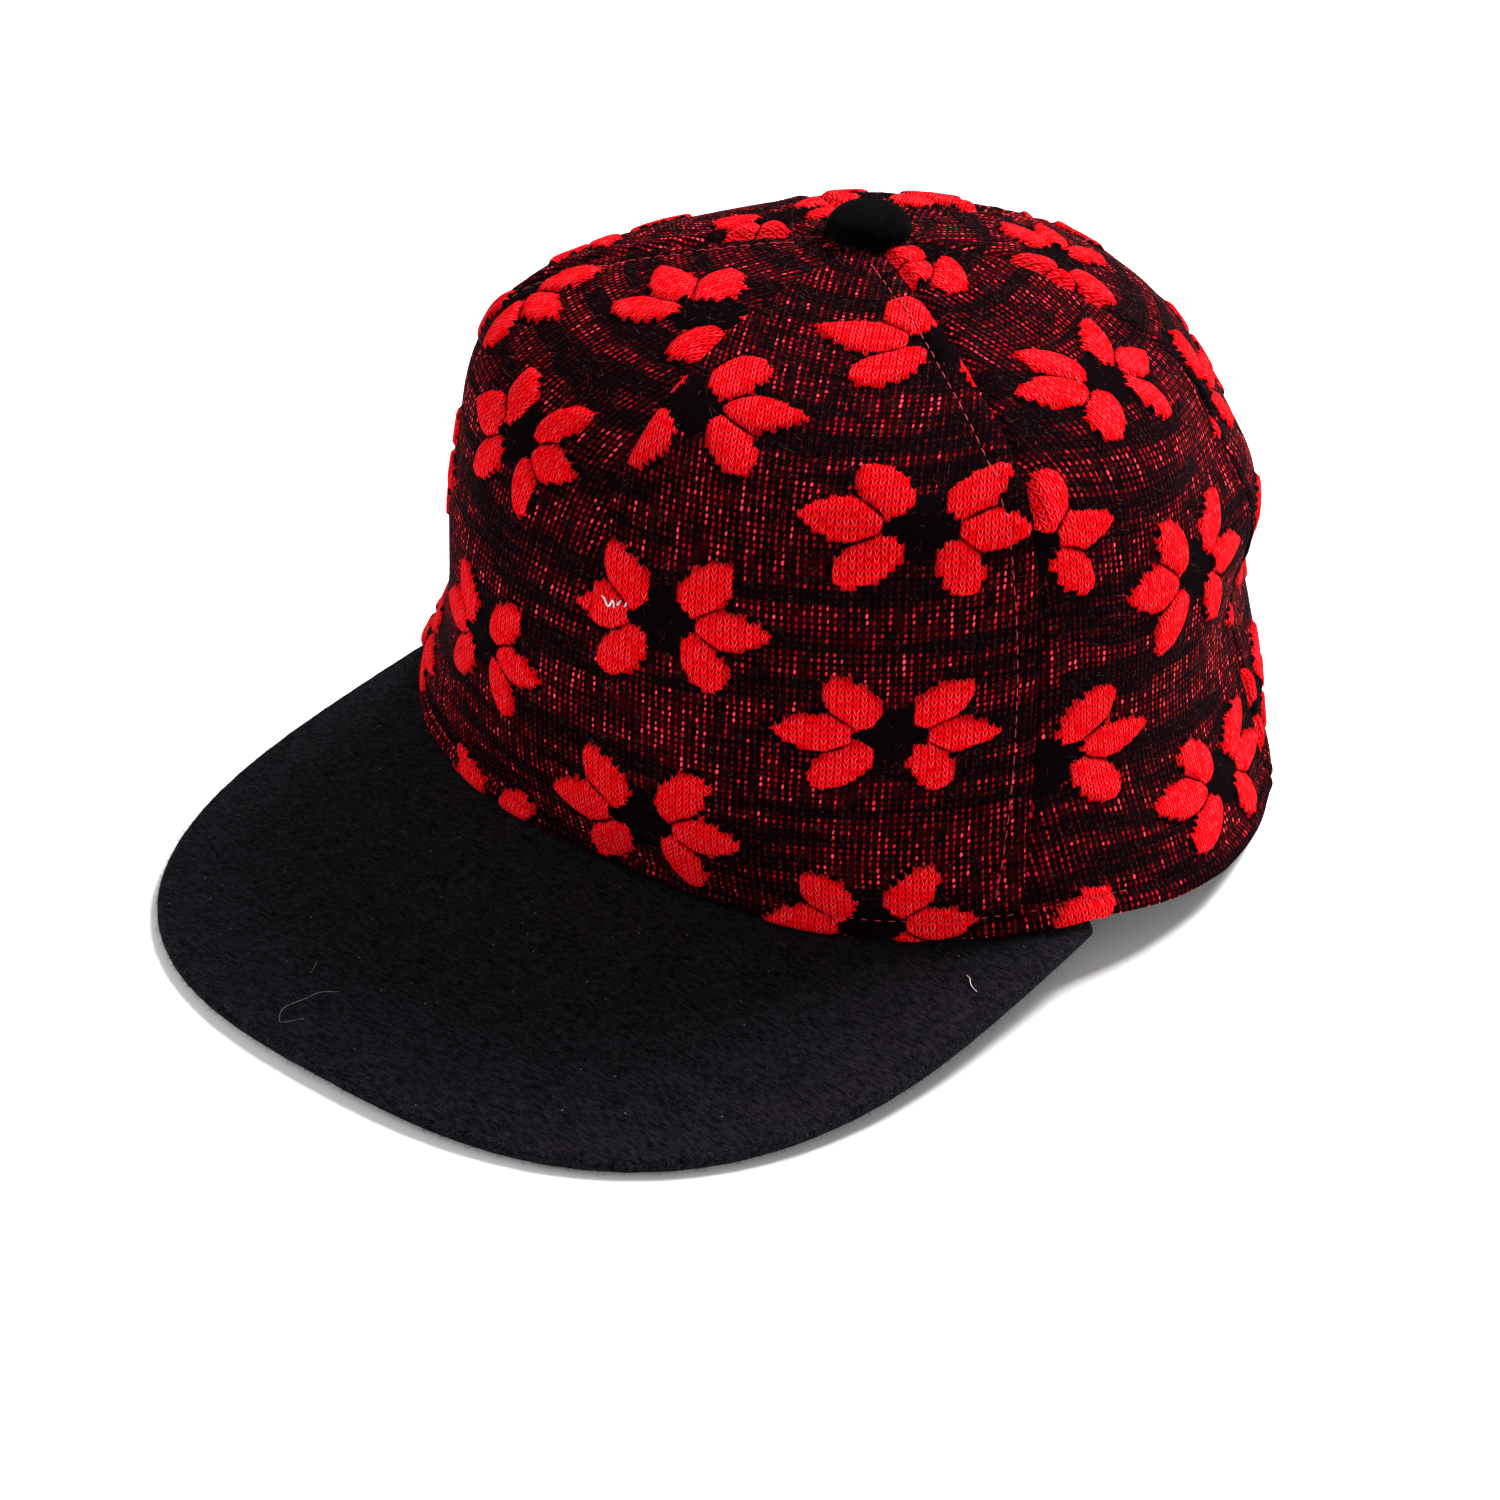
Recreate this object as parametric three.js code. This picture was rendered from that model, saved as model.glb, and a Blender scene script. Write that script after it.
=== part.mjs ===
// Snapback cap: a crown of knitted cloth gores, a flat felt brim and a felt button.
// The cap rests on the front edge of its brim and on its rear hem.
// Millimetres, +Z up, the brim points to -Y and the wearer's left is +X.
import * as THREE from 'three';

// Crown, measured at the hem from the button's axis out to the front, to each temple,
// to each rear side and to the back
const HEM_FRONT = 84;
const HEM_TEMPLE = 96.5;
const HEM_REAR_SIDE = 88.5;
const HEM_BACK = 92;
const CROWN_HEIGHT = 121.5;
const SIDE_LEAN = 2.2;
const CLOTH = 2;

// Seams of the crown
const TEMPLE_ANGLE = 61;
const TEMPLE_HEM_DRIFT = 3;
const REAR_SIDE_ANGLE = 120;
const GAP = 0.3;
const APEX_HOLE = 3;
const HALF_SEAM_DEPTH = 0.9;
const HALF_SEAM_WIDTH = 5;
const HALF_SEAM_LENGTH = 78;
const FOLD_RELIEF = 4;

// Hem beside and behind the brim
const HEM_FLAT_ANGLE = 150;
const HEM_FALL = 2;

// Brim
const BRIM_HALF_WIDTH = 91;
const BRIM_WIDEST_FORWARD = 68;
const BRIM_TIP_REACH = 95;
const BRIM_ROUNDNESS = 2.63;
const BRIM_THICKNESS = 3.2;
const BRIM_PITCH = 6.35;
const BRIM_SAG = 5;
const BRIM_END_ANGLE = 66.5;
const BRIM_TUCK = 4.6;
const BRIM_END_LIP = 1.8;

// Button on the apex
const BUTTON_RADIUS = 8.7;
const BUTTON_HEIGHT = 6;
const SHANK_RADIUS = 1.8;
const SHANK_LENGTH = 4;

// Rear arch, the strap across it and the band inside the hem
const ARCH_HALF_WIDTH = 38;
const ARCH_HEIGHT = 50;
const STRAP_HEIGHT = 20;
const STRAP_THICKNESS = 1.4;
const STRAP_LAP = 14;
const BAND_HEIGHT = 32;
const BAND_THICKNESS = 1.2;
const INSIDE_GAP = 0.5;

// Crown sections from hem to apex, as shares of CROWN_HEIGHT and of each reach at the hem
const SECTIONS = [
  { height: 0.0, front: 1.0, temple: 1.0, rearSide: 1.0, back: 1.0 },
  { height: 0.15, front: 1.06, temple: 0.953, rearSide: 0.915, back: 1.01 },
  { height: 0.3, front: 1.08, temple: 0.897, rearSide: 0.885, back: 1.012 },
  { height: 0.5, front: 1.063, temple: 0.885, rearSide: 0.862, back: 0.965 },
  { height: 0.68, front: 0.995, temple: 0.861, rearSide: 0.797, back: 0.855 },
  { height: 0.82, front: 0.867, temple: 0.79, rearSide: 0.69, back: 0.722 },
  { height: 0.92, front: 0.63, temple: 0.543, rearSide: 0.478, back: 0.492 },
  { height: 0.975, front: 0.329, temple: 0.24, rearSide: 0.3, back: 0.235 },
  { height: 1.0, front: 0.0, temple: 0.0, rearSide: 0.0, back: 0.0 },
];

// Soft folds: where round the crown and how high, how far each spreads, and its
// depth as a share of FOLD_RELIEF, outward when positive
const FOLDS = [
  { angle: 128, height: 0.37, angleSpread: 22, heightSpread: 0.11, depth: -0.7 },
  { angle: 132, height: 0.15, angleSpread: 22, heightSpread: 0.11, depth: 0.65 },
  { angle: 124, height: 0.54, angleSpread: 22, heightSpread: 0.12, depth: 0.9 },
  { angle: -64, height: 0.07, angleSpread: 12, heightSpread: 0.07, depth: 0.5 },
  { angle: -34, height: 0.6, angleSpread: 14, heightSpread: 0.08, depth: -0.2 },
  { angle: 34, height: 0.74, angleSpread: 15, heightSpread: 0.08, depth: 0.15 },
];

const radians = THREE.MathUtils.degToRad;
const lerp = THREE.MathUtils.lerp;

// A smooth curve through evenly spaced values, straight at both ends
function naturalSpline(values) {
  const last = values.length - 1;
  const bend = new Array(last + 1).fill(0);
  const carry = new Array(last + 1).fill(0);
  for (let i = 1; i < last; i += 1) {
    const pivot = 4 - carry[i - 1];
    carry[i] = 1 / pivot;
    bend[i] = (6 * (values[i + 1] - 2 * values[i] + values[i - 1]) - bend[i - 1]) / pivot;
  }
  for (let i = last - 1; i > 0; i -= 1) {
    bend[i] -= carry[i] * bend[i + 1];
  }
  return (station) => {
    const i = THREE.MathUtils.clamp(Math.floor(station), 0, last - 1);
    const right = station - i;
    const left = 1 - right;
    const curved = (left ** 3 - left) * bend[i] + (right ** 3 - right) * bend[i + 1];
    return left * values[i] + right * values[i + 1] + curved / 6;
  };
}

const LAST_SECTION = SECTIONS.length - 1;
const heightShare = naturalSpline(SECTIONS.map((row) => row.height));
const frontReach = naturalSpline(SECTIONS.map((row) => row.front * HEM_FRONT));
const templeReach = naturalSpline(SECTIONS.map((row) => row.temple * HEM_TEMPLE));
const rearSideReach = naturalSpline(SECTIONS.map((row) => row.rearSide * HEM_REAR_SIDE));
const backReach = naturalSpline(SECTIONS.map((row) => row.back * HEM_BACK));

// Reach of the crown at an angle: the cosine series through its reaches at 0, 60,
// 120 and 180 degrees from the front
function crownReach(angle, station) {
  const front = frontReach(station);
  const temple = templeReach(station);
  const rearSide = rearSideReach(station);
  const back = backReach(station);
  const mean = (front + 2 * temple + 2 * rearSide + back) / 6;
  const once = (front + temple - rearSide - back) / 3;
  const twice = (front - temple - rearSide + back) / 3;
  const thrice = (front - 2 * temple + 2 * rearSide - back) / 6;
  const turn = radians(angle);
  return mean + once * Math.cos(turn) + twice * Math.cos(2 * turn) + thrice * Math.cos(3 * turn);
}

// The station at which the crown reaches a share of its height
function stationAtHeight(share) {
  let low = 0;
  let high = LAST_SECTION;
  for (let step = 0; step < 40; step += 1) {
    const middle = (low + high) / 2;
    if (heightShare(middle) < share) {
      low = middle;
    } else {
      high = middle;
    }
  }
  return low;
}

// The station at which a meridian comes within a radius of the button's axis
function stationAtRadius(angle, radius) {
  let low = LAST_SECTION - 1;
  let high = LAST_SECTION;
  for (let step = 0; step < 40; step += 1) {
    const middle = (low + high) / 2;
    if (crownReach(angle, middle) > radius) {
      low = middle;
    } else {
      high = middle;
    }
  }
  return low;
}

// Outline of the brim: a superellipse in front of its widest line, then two sides
// that run back to where the brim ends under the hem
function brimOutline() {
  const points = [];
  const turn = radians(BRIM_END_ANGLE);
  const endReach = crownReach(BRIM_END_ANGLE, 0) + BRIM_END_LIP;
  const endX = endReach * Math.sin(turn);
  const endY = -endReach * Math.cos(turn);
  const sideSteps = 12;
  for (let i = 0; i < sideSteps; i += 1) {
    const share = 1 - i / sideSteps;
    const x = lerp(BRIM_HALF_WIDTH, endX, share * share);
    points.push(new THREE.Vector2(-x, lerp(-BRIM_WIDEST_FORWARD, endY, share)));
  }
  const frontSteps = 96;
  const power = 2 / BRIM_ROUNDNESS;
  for (let i = 0; i <= frontSteps; i += 1) {
    const sweep = (i / frontSteps - 0.5) * Math.PI;
    const across = Math.sign(Math.sin(sweep)) * Math.abs(Math.sin(sweep)) ** power;
    const forward = Math.max(Math.cos(sweep), 0) ** power;
    points.push(new THREE.Vector2(BRIM_HALF_WIDTH * across, -BRIM_WIDEST_FORWARD - BRIM_TIP_REACH * forward));
  }
  for (let i = 1; i <= sideSteps; i += 1) {
    const share = i / sideSteps;
    const x = lerp(BRIM_HALF_WIDTH, endX, share * share);
    points.push(new THREE.Vector2(x, lerp(-BRIM_WIDEST_FORWARD, endY, share)));
  }
  return points;
}

// Evenly spaced points along the brim's outline, from its right end to its left end
function spacedOutline(count) {
  const outline = brimOutline();
  const along = [0];
  for (let i = 1; i < outline.length; i += 1) {
    along.push(along[i - 1] + outline[i].distanceTo(outline[i - 1]));
  }
  const spaced = [];
  let from = 0;
  for (let i = 0; i < count; i += 1) {
    const target = (along[along.length - 1] * i) / (count - 1);
    while (from < along.length - 2 && along[from + 1] < target) {
      from += 1;
    }
    const share = (target - along[from]) / (along[from + 1] - along[from]);
    spaced.push(new THREE.Vector2().lerpVectors(outline[from], outline[from + 1], share));
  }
  return spaced;
}

// Rise of the brim's upper face over its height at the front of the hem
function brimRise(x, y) {
  const sag = BRIM_SAG * (x / BRIM_HALF_WIDTH) ** 2;
  return Math.tan(radians(BRIM_PITCH)) * (y + HEM_FRONT) - sag;
}

// The brim is lifted until the lowest point of its edge lies on the surface
const lowestRise = Math.min(...brimOutline().map((point) => brimRise(point.x, point.y)));
const BRIM_LIFT = BRIM_THICKNESS + GAP - lowestRise;

// Height of the hem's lower edge: it follows the brim, then falls to the surface
function hemHeight(angle) {
  const around = Math.abs(angle);
  const onBrim = Math.min(around, BRIM_END_ANGLE);
  const reach = crownReach(onBrim, 0);
  const turn = radians(onBrim);
  const height = BRIM_LIFT + brimRise(reach * Math.sin(turn), -reach * Math.cos(turn));
  const fallen = (around - BRIM_END_ANGLE) / (HEM_FLAT_ANGLE - BRIM_END_ANGLE);
  const left = 1 - THREE.MathUtils.clamp(fallen, 0, 1);
  return around > BRIM_END_ANGLE ? height * left ** HEM_FALL : height;
}

// Inward pinch of the half seam, which fades out down the front
function halfSeamPinch(angle, station, reach) {
  const across = (reach * Math.sin(radians(angle))) / HALF_SEAM_WIDTH;
  const below = (1 - heightShare(station)) * CROWN_HEIGHT;
  const fade = 1 - THREE.MathUtils.smoothstep(below, HALF_SEAM_LENGTH * 0.7, HALF_SEAM_LENGTH);
  const facing = Math.cos(radians(angle)) > 0 ? 1 : 0;
  return HALF_SEAM_DEPTH * facing * fade * Math.exp(-across * across);
}

// Relief of the soft folds at one place on the crown
function foldRelief(angle, share) {
  return FOLDS.reduce((sum, fold) => {
    const across = (angle - fold.angle) / fold.angleSpread;
    const up = (share - fold.height) / fold.heightSpread;
    return sum + FOLD_RELIEF * fold.depth * Math.exp(-across * across - up * up);
  }, 0);
}

// A point on the outside of the crown
function crownPoint(angle, station) {
  const share = heightShare(station);
  const plain = crownReach(angle, station);
  const reach = plain + foldRelief(angle, share) - halfSeamPinch(angle, station, plain);
  const turn = radians(angle);
  const lean = SIDE_LEAN * Math.sin(Math.PI * THREE.MathUtils.clamp(share, 0, 1));
  const height = share * CROWN_HEIGHT + hemHeight(angle) * (1 - share);
  return new THREE.Vector3(reach * Math.sin(turn) + lean, -reach * Math.cos(turn), height);
}

// A point a depth inside the crown's outer face, square to it, but level at the hem
function insetPoint(angle, station, depth) {
  const point = crownPoint(angle, station);
  if (depth === 0) {
    return point;
  }
  const step = 0.02;
  const around = crownPoint(angle + step * 10, station).sub(crownPoint(angle - step * 10, station));
  const lower = Math.max(station - step, 0);
  const upward = crownPoint(angle, lower + step).sub(crownPoint(angle, lower));
  const outward = around.cross(upward);
  outward.z *= THREE.MathUtils.smoothstep(station, 0, 1);
  return point.addScaledVector(outward.normalize(), -depth);
}

// A closed wall between two sheets of points: rows run upward, columns run round
// the crown from the wearer's right to the left
function wallGeometry(outer, inner) {
  const rows = outer.length;
  const columns = outer[0].length;
  const positions = [];
  const faces = [];
  for (const sheet of [outer, inner]) {
    for (const row of sheet) {
      for (const point of row) {
        positions.push(point.x, point.y, point.z);
      }
    }
  }
  const innerStart = rows * columns;
  const quad = (a, b, c, d) => {
    faces.push(a, b, c, a, c, d);
  };
  for (let i = 0; i < rows - 1; i += 1) {
    for (let j = 0; j < columns - 1; j += 1) {
      const corner = i * columns + j;
      const inside = innerStart + corner;
      quad(corner, corner + 1, corner + 1 + columns, corner + columns);
      quad(inside, inside + columns, inside + 1 + columns, inside + 1);
    }
    const right = i * columns;
    const left = right + columns - 1;
    quad(right, right + columns, innerStart + right + columns, innerStart + right);
    quad(left, innerStart + left, innerStart + left + columns, left + columns);
  }
  for (let j = 0; j < columns - 1; j += 1) {
    const top = (rows - 1) * columns + j;
    quad(j, innerStart + j, innerStart + j + 1, j + 1);
    quad(top, top + 1, innerStart + top + 1, innerStart + top);
  }
  return indexedGeometry(positions, faces);
}

function indexedGeometry(positions, faces) {
  const geometry = new THREE.BufferGeometry();
  geometry.setAttribute('position', new THREE.Float32BufferAttribute(positions, 3));
  geometry.setIndex(faces);
  geometry.computeVertexNormals();
  return geometry;
}

function pieceMesh(name, geometry, colour, roughness) {
  const material = new THREE.MeshStandardMaterial({ color: colour, roughness, metalness: 0 });
  const mesh = new THREE.Mesh(geometry, material);
  mesh.name = name;
  return mesh;
}

// Angle of a seam at a station; the temple seams drift forward near the hem
function seamAngle(angle, station) {
  const nearHem = 1 - THREE.MathUtils.smoothstep(heightShare(station), 0, 0.35);
  const isTemple = Math.abs(angle) === TEMPLE_ANGLE;
  return isTemple ? angle - Math.sign(angle) * TEMPLE_HEM_DRIFT * nearHem : angle;
}

// Half the rear arch's width, as an angle at the hem
const ARCH_HALF_ANGLE = THREE.MathUtils.radToDeg(ARCH_HALF_WIDTH / HEM_BACK);

// The lowest station of the cloth at an angle: the hem, or the edge of the rear arch
function lowestStation(angle) {
  const fromBack = (180 - Math.abs(angle)) / ARCH_HALF_ANGLE;
  if (fromBack >= 1) {
    return 0;
  }
  return stationAtHeight((ARCH_HEIGHT / CROWN_HEIGHT) * Math.sqrt(1 - fromBack * fromBack));
}

// One gore between two seams, given where its columns stand from 0 at the right
// seam to 1 at the left seam
function goreGeometry(rightSeam, leftSeam, columnShares) {
  const outer = [];
  const inner = [];
  for (let i = 0; i < ROW_COUNT; i += 1) {
    outer.push([]);
    inner.push([]);
    const rowShare = i / (ROW_COUNT - 1);
    for (const columnShare of columnShares) {
      const plainAngle = lerp(rightSeam, leftSeam, columnShare);
      const lowest = lowestStation(plainAngle);
      const highest = stationAtRadius(plainAngle, APEX_HOLE);
      const station = lerp(lowest, highest, rowShare);
      const halfGap = THREE.MathUtils.radToDeg(GAP / 2 / crownReach(plainAngle, station));
      const right = seamAngle(rightSeam, station) + halfGap;
      const left = seamAngle(leftSeam, station) - halfGap;
      const angle = lerp(right, left, columnShare);
      outer[i].push(insetPoint(angle, station, 0));
      inner[i].push(insetPoint(angle, station, CLOTH));
    }
  }
  return wallGeometry(outer, inner);
}

// Even column shares between two angles at the hem, with the nearest column moved
// onto each end of the brim, where the hem's edge turns down
function hemShares(fromAngle, toAngle, count) {
  const shares = Array.from({ length: count + 1 }, (unused, i) => i / count);
  for (const end of [-BRIM_END_ANGLE, BRIM_END_ANGLE]) {
    const share = (end - fromAngle) / (toAngle - fromAngle);
    if (share > 0 && share < 1) {
      shares[Math.round(share * count)] = share;
    }
  }
  return shares;
}

// Columns of a rear gore: even up to the arch, then spaced by sweep round its edge
const ARCH_FOOT_SWEEP = 22;
function rearShares(plainCount, archCount) {
  const span = 180 - REAR_SIDE_ANGLE;
  const archShare = ARCH_HALF_ANGLE / span;
  const plainEnd = lerp(REAR_SIDE_ANGLE, 180, 1 - archShare);
  const shares = hemShares(REAR_SIDE_ANGLE, plainEnd, plainCount).map((share) => share * (1 - archShare));
  for (let i = 0; i < archCount; i += 1) {
    const sweep = radians(lerp(ARCH_FOOT_SWEEP, 90, i / (archCount - 1)));
    shares.push(1 - archShare * Math.cos(sweep));
  }
  return shares;
}

const KNIT_COLOUR = 0x8c1219;
const FELT_COLOUR = 0x0c0c0e;
const TAPE_COLOUR = 0x17171a;
const STRAP_COLOUR = 0x111113;
const KNIT_ROUGHNESS = 0.9;
const FELT_ROUGHNESS = 0.95;
const TAPE_ROUGHNESS = 0.85;
const STRAP_ROUGHNESS = 0.45;

// Rows and columns of the crown's gores
const ROW_COUNT = 19;
const FRONT_COLUMNS = 30;
const SIDE_COLUMNS = 12;
const REAR_PLAIN_COLUMNS = 7;
const ARCH_COLUMNS = 8;

function makeFrontPanel() {
  const hemSeam = seamAngle(TEMPLE_ANGLE, 0);
  const geometry = goreGeometry(-TEMPLE_ANGLE, TEMPLE_ANGLE, hemShares(-hemSeam, hemSeam, FRONT_COLUMNS));
  return pieceMesh('front_panel', geometry, KNIT_COLOUR, KNIT_ROUGHNESS);
}

function makeSidePanels() {
  const leftShares = hemShares(seamAngle(TEMPLE_ANGLE, 0), REAR_SIDE_ANGLE, SIDE_COLUMNS);
  const rightShares = leftShares.map((share) => 1 - share).reverse();
  const left = goreGeometry(TEMPLE_ANGLE, REAR_SIDE_ANGLE, leftShares);
  const right = goreGeometry(-REAR_SIDE_ANGLE, -TEMPLE_ANGLE, rightShares);
  return [
    pieceMesh('side_panel_left', left, KNIT_COLOUR, KNIT_ROUGHNESS),
    pieceMesh('side_panel_right', right, KNIT_COLOUR, KNIT_ROUGHNESS),
  ];
}

function makeBackPanels() {
  const leftShares = rearShares(REAR_PLAIN_COLUMNS, ARCH_COLUMNS);
  const rightShares = leftShares.map((share) => 1 - share).reverse();
  const left = goreGeometry(REAR_SIDE_ANGLE, 180, leftShares);
  const right = goreGeometry(-180, -REAR_SIDE_ANGLE, rightShares);
  return [
    pieceMesh('back_panel_left', left, KNIT_COLOUR, KNIT_ROUGHNESS),
    pieceMesh('back_panel_right', right, KNIT_COLOUR, KNIT_ROUGHNESS),
  ];
}

// A strip inside the crown that stands on the hem's level, between two angles
function stripGeometry(fromAngle, toAngle, height, depth, thickness, columns, rows) {
  const outer = [];
  const inner = [];
  const top = stationAtHeight(height / CROWN_HEIGHT);
  for (let i = 0; i <= rows; i += 1) {
    outer.push([]);
    inner.push([]);
    const station = (top * i) / rows;
    for (const share of hemShares(fromAngle, toAngle, columns)) {
      const angle = lerp(fromAngle, toAngle, share);
      outer[i].push(insetPoint(angle, station, depth));
      inner[i].push(insetPoint(angle, station, depth + thickness));
    }
  }
  return wallGeometry(outer, inner);
}

const STRAP_HALF_ANGLE = ARCH_HALF_ANGLE + THREE.MathUtils.radToDeg(STRAP_LAP / HEM_BACK);

function makeSweatband() {
  const end = 180 - STRAP_HALF_ANGLE - THREE.MathUtils.radToDeg(GAP / HEM_BACK);
  const geometry = stripGeometry(-end, end, BAND_HEIGHT, CLOTH + INSIDE_GAP, BAND_THICKNESS, 56, 4);
  return pieceMesh('sweatband', geometry, TAPE_COLOUR, TAPE_ROUGHNESS);
}

function makeSnapStrap() {
  const from = 180 - STRAP_HALF_ANGLE;
  const to = 180 + STRAP_HALF_ANGLE;
  const geometry = stripGeometry(from, to, STRAP_HEIGHT, CLOTH + INSIDE_GAP, STRAP_THICKNESS, 18, 3);
  return pieceMesh('snap_strap', geometry, STRAP_COLOUR, STRAP_ROUGHNESS);
}

const BRIM_STATIONS = 49;
const BRIM_SPAN_STEPS = 5;

// One section of the brim, a closed ring of points: in from the hem along the top,
// out to the rounded edge and back along the underside
function brimSection(angle, edge) {
  const reach = crownReach(angle, 0);
  const turn = radians(angle);
  const hemLine = new THREE.Vector2(reach * Math.sin(turn), -reach * Math.cos(turn));
  const tucked = hemLine.clone().setLength(reach - BRIM_TUCK);
  const level = hemHeight(angle) - GAP;
  const round = BRIM_THICKNESS / 2;
  const outward = edge.clone().sub(hemLine).normalize();
  const shoulder = edge.clone().addScaledVector(outward, -round);
  const top = [new THREE.Vector3(tucked.x, tucked.y, level)];
  for (let i = 0; i <= BRIM_SPAN_STEPS; i += 1) {
    const flat = new THREE.Vector2().lerpVectors(hemLine, shoulder, i / BRIM_SPAN_STEPS);
    top.push(new THREE.Vector3(flat.x, flat.y, BRIM_LIFT - GAP + brimRise(flat.x, flat.y)));
  }
  const bottom = top.map((point) => point.clone().setZ(point.z - BRIM_THICKNESS)).reverse();
  const edgeHeight = top[top.length - 1].z - round;
  const nose = [];
  for (const degrees of [45, 0, -45]) {
    const tilt = radians(degrees);
    const flat = shoulder.clone().addScaledVector(outward, round * Math.cos(tilt));
    nose.push(new THREE.Vector3(flat.x, flat.y, edgeHeight + round * Math.sin(tilt)));
  }
  return [...top, ...nose, ...bottom];
}

function makeBrim() {
  const edges = spacedOutline(BRIM_STATIONS);
  const rings = edges.map((edge, i) => {
    const angle = lerp(-BRIM_END_ANGLE, BRIM_END_ANGLE, i / (BRIM_STATIONS - 1));
    return brimSection(angle, edge);
  });
  return pieceMesh('brim', loftGeometry(rings), FELT_COLOUR, FELT_ROUGHNESS);
}

// A closed body lofted through rings of points, with a flat fan over each end
function loftGeometry(rings) {
  const count = rings[0].length;
  const positions = rings.flat().flatMap((point) => [point.x, point.y, point.z]);
  const faces = [];
  for (let i = 0; i < rings.length - 1; i += 1) {
    for (let j = 0; j < count; j += 1) {
      const next = (j + 1) % count;
      const a = i * count + j;
      const b = i * count + next;
      faces.push(a, b, b + count, a, b + count, a + count);
    }
  }
  const last = (rings.length - 1) * count;
  for (let j = 1; j < count / 2; j += 1) {
    const far = count - j;
    for (const [start, flip] of [[0, true], [last, false]]) {
      const a = start + j - 1;
      const b = start + j;
      const c = start + far - 1;
      const d = start + far;
      const pair = j === count / 2 - 0.5 ? [[a, b, d]] : [[a, b, c], [a, c, d]];
      for (const face of pair) {
        faces.push(...(flip ? [face[0], face[2], face[1]] : face));
      }
    }
  }
  return indexedGeometry(positions, faces);
}

// How far the crown has fallen below the apex at a radius, where it falls least
function leastFall(radius) {
  const falls = [0, TEMPLE_ANGLE, REAR_SIDE_ANGLE, 180].map((angle) => {
    const station = stationAtRadius(angle, radius);
    return (1 - heightShare(station)) * (CROWN_HEIGHT - hemHeight(angle));
  });
  return Math.min(...falls);
}

const DOME_STEPS = 7;
const DOME_SIDES = 28;

// A domed button whose underside follows the crown, on a shank through the apex
function makeButton() {
  const collar = CROWN_HEIGHT + GAP;
  const rim = collar - Math.max(leastFall(BUTTON_RADIUS) - GAP, 0);
  const profile = [
    new THREE.Vector2(0, collar - SHANK_LENGTH),
    new THREE.Vector2(SHANK_RADIUS, collar - SHANK_LENGTH),
    new THREE.Vector2(SHANK_RADIUS, collar),
    new THREE.Vector2(BUTTON_RADIUS * 0.95, rim),
  ];
  for (let i = 0; i <= DOME_STEPS; i += 1) {
    const rise = (i / DOME_STEPS) * (Math.PI / 2);
    const radius = BUTTON_RADIUS * Math.cos(rise) ** 0.8;
    const height = rim + BUTTON_HEIGHT * (0.2 + 0.8 * Math.sin(rise));
    profile.push(new THREE.Vector2(i === DOME_STEPS ? 0 : radius, height));
  }
  const geometry = new THREE.LatheGeometry(profile, DOME_SIDES);
  geometry.rotateX(Math.PI / 2);
  return pieceMesh('top_button', geometry, FELT_COLOUR, FELT_ROUGHNESS);
}

const cap = new THREE.Group();
cap.name = 'snapback_cap';
cap.add(makeFrontPanel(), ...makeSidePanels(), ...makeBackPanels());
cap.add(makeButton(), makeBrim(), makeSweatband(), makeSnapStrap());

// The origin is the centre of the footprint, on the surface that the cap rests on
const box = new THREE.Box3().setFromObject(cap);
const centre = box.getCenter(new THREE.Vector3());
cap.position.set(-centre.x, -centre.y, -box.min.z);

export default cap;
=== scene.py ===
"""Looks of a snapback cap in raised flower knit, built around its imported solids.

Shapes are worked out in millimetres with the button's axis as the origin, and are
set into the frame, in metres, when a piece is made. Angles run round the crown in
degrees: 0 at the front, 90 at the wearer's left and 180 at the back.
"""

import logging
import math
from collections.abc import Callable, Iterator
from dataclasses import dataclass, field
from enum import Enum
from functools import cache

import bpy
import numpy as np
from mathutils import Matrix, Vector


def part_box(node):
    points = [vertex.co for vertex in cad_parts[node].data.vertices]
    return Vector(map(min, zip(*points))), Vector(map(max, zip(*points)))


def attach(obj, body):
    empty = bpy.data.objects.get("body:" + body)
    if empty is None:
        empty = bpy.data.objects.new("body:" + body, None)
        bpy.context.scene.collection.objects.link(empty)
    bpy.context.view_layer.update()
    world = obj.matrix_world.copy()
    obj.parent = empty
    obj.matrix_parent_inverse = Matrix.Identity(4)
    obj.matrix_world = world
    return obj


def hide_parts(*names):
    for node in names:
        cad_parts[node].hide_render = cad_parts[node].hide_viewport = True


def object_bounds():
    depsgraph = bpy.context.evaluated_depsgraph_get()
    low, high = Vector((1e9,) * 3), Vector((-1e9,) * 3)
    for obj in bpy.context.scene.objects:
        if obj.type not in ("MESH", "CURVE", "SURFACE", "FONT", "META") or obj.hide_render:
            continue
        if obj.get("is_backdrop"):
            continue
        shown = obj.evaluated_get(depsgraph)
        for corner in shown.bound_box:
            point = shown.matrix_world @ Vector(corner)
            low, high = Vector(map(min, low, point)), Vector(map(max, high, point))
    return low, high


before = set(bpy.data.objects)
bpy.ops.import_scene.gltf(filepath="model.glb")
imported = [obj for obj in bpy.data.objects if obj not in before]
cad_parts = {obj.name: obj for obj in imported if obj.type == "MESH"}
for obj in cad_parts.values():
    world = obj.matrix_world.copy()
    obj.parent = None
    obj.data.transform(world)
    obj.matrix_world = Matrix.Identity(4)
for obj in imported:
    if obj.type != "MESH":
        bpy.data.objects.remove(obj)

CAD_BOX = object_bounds()
METRE = 0.001
LOG = logging.getLogger("cap")

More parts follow.
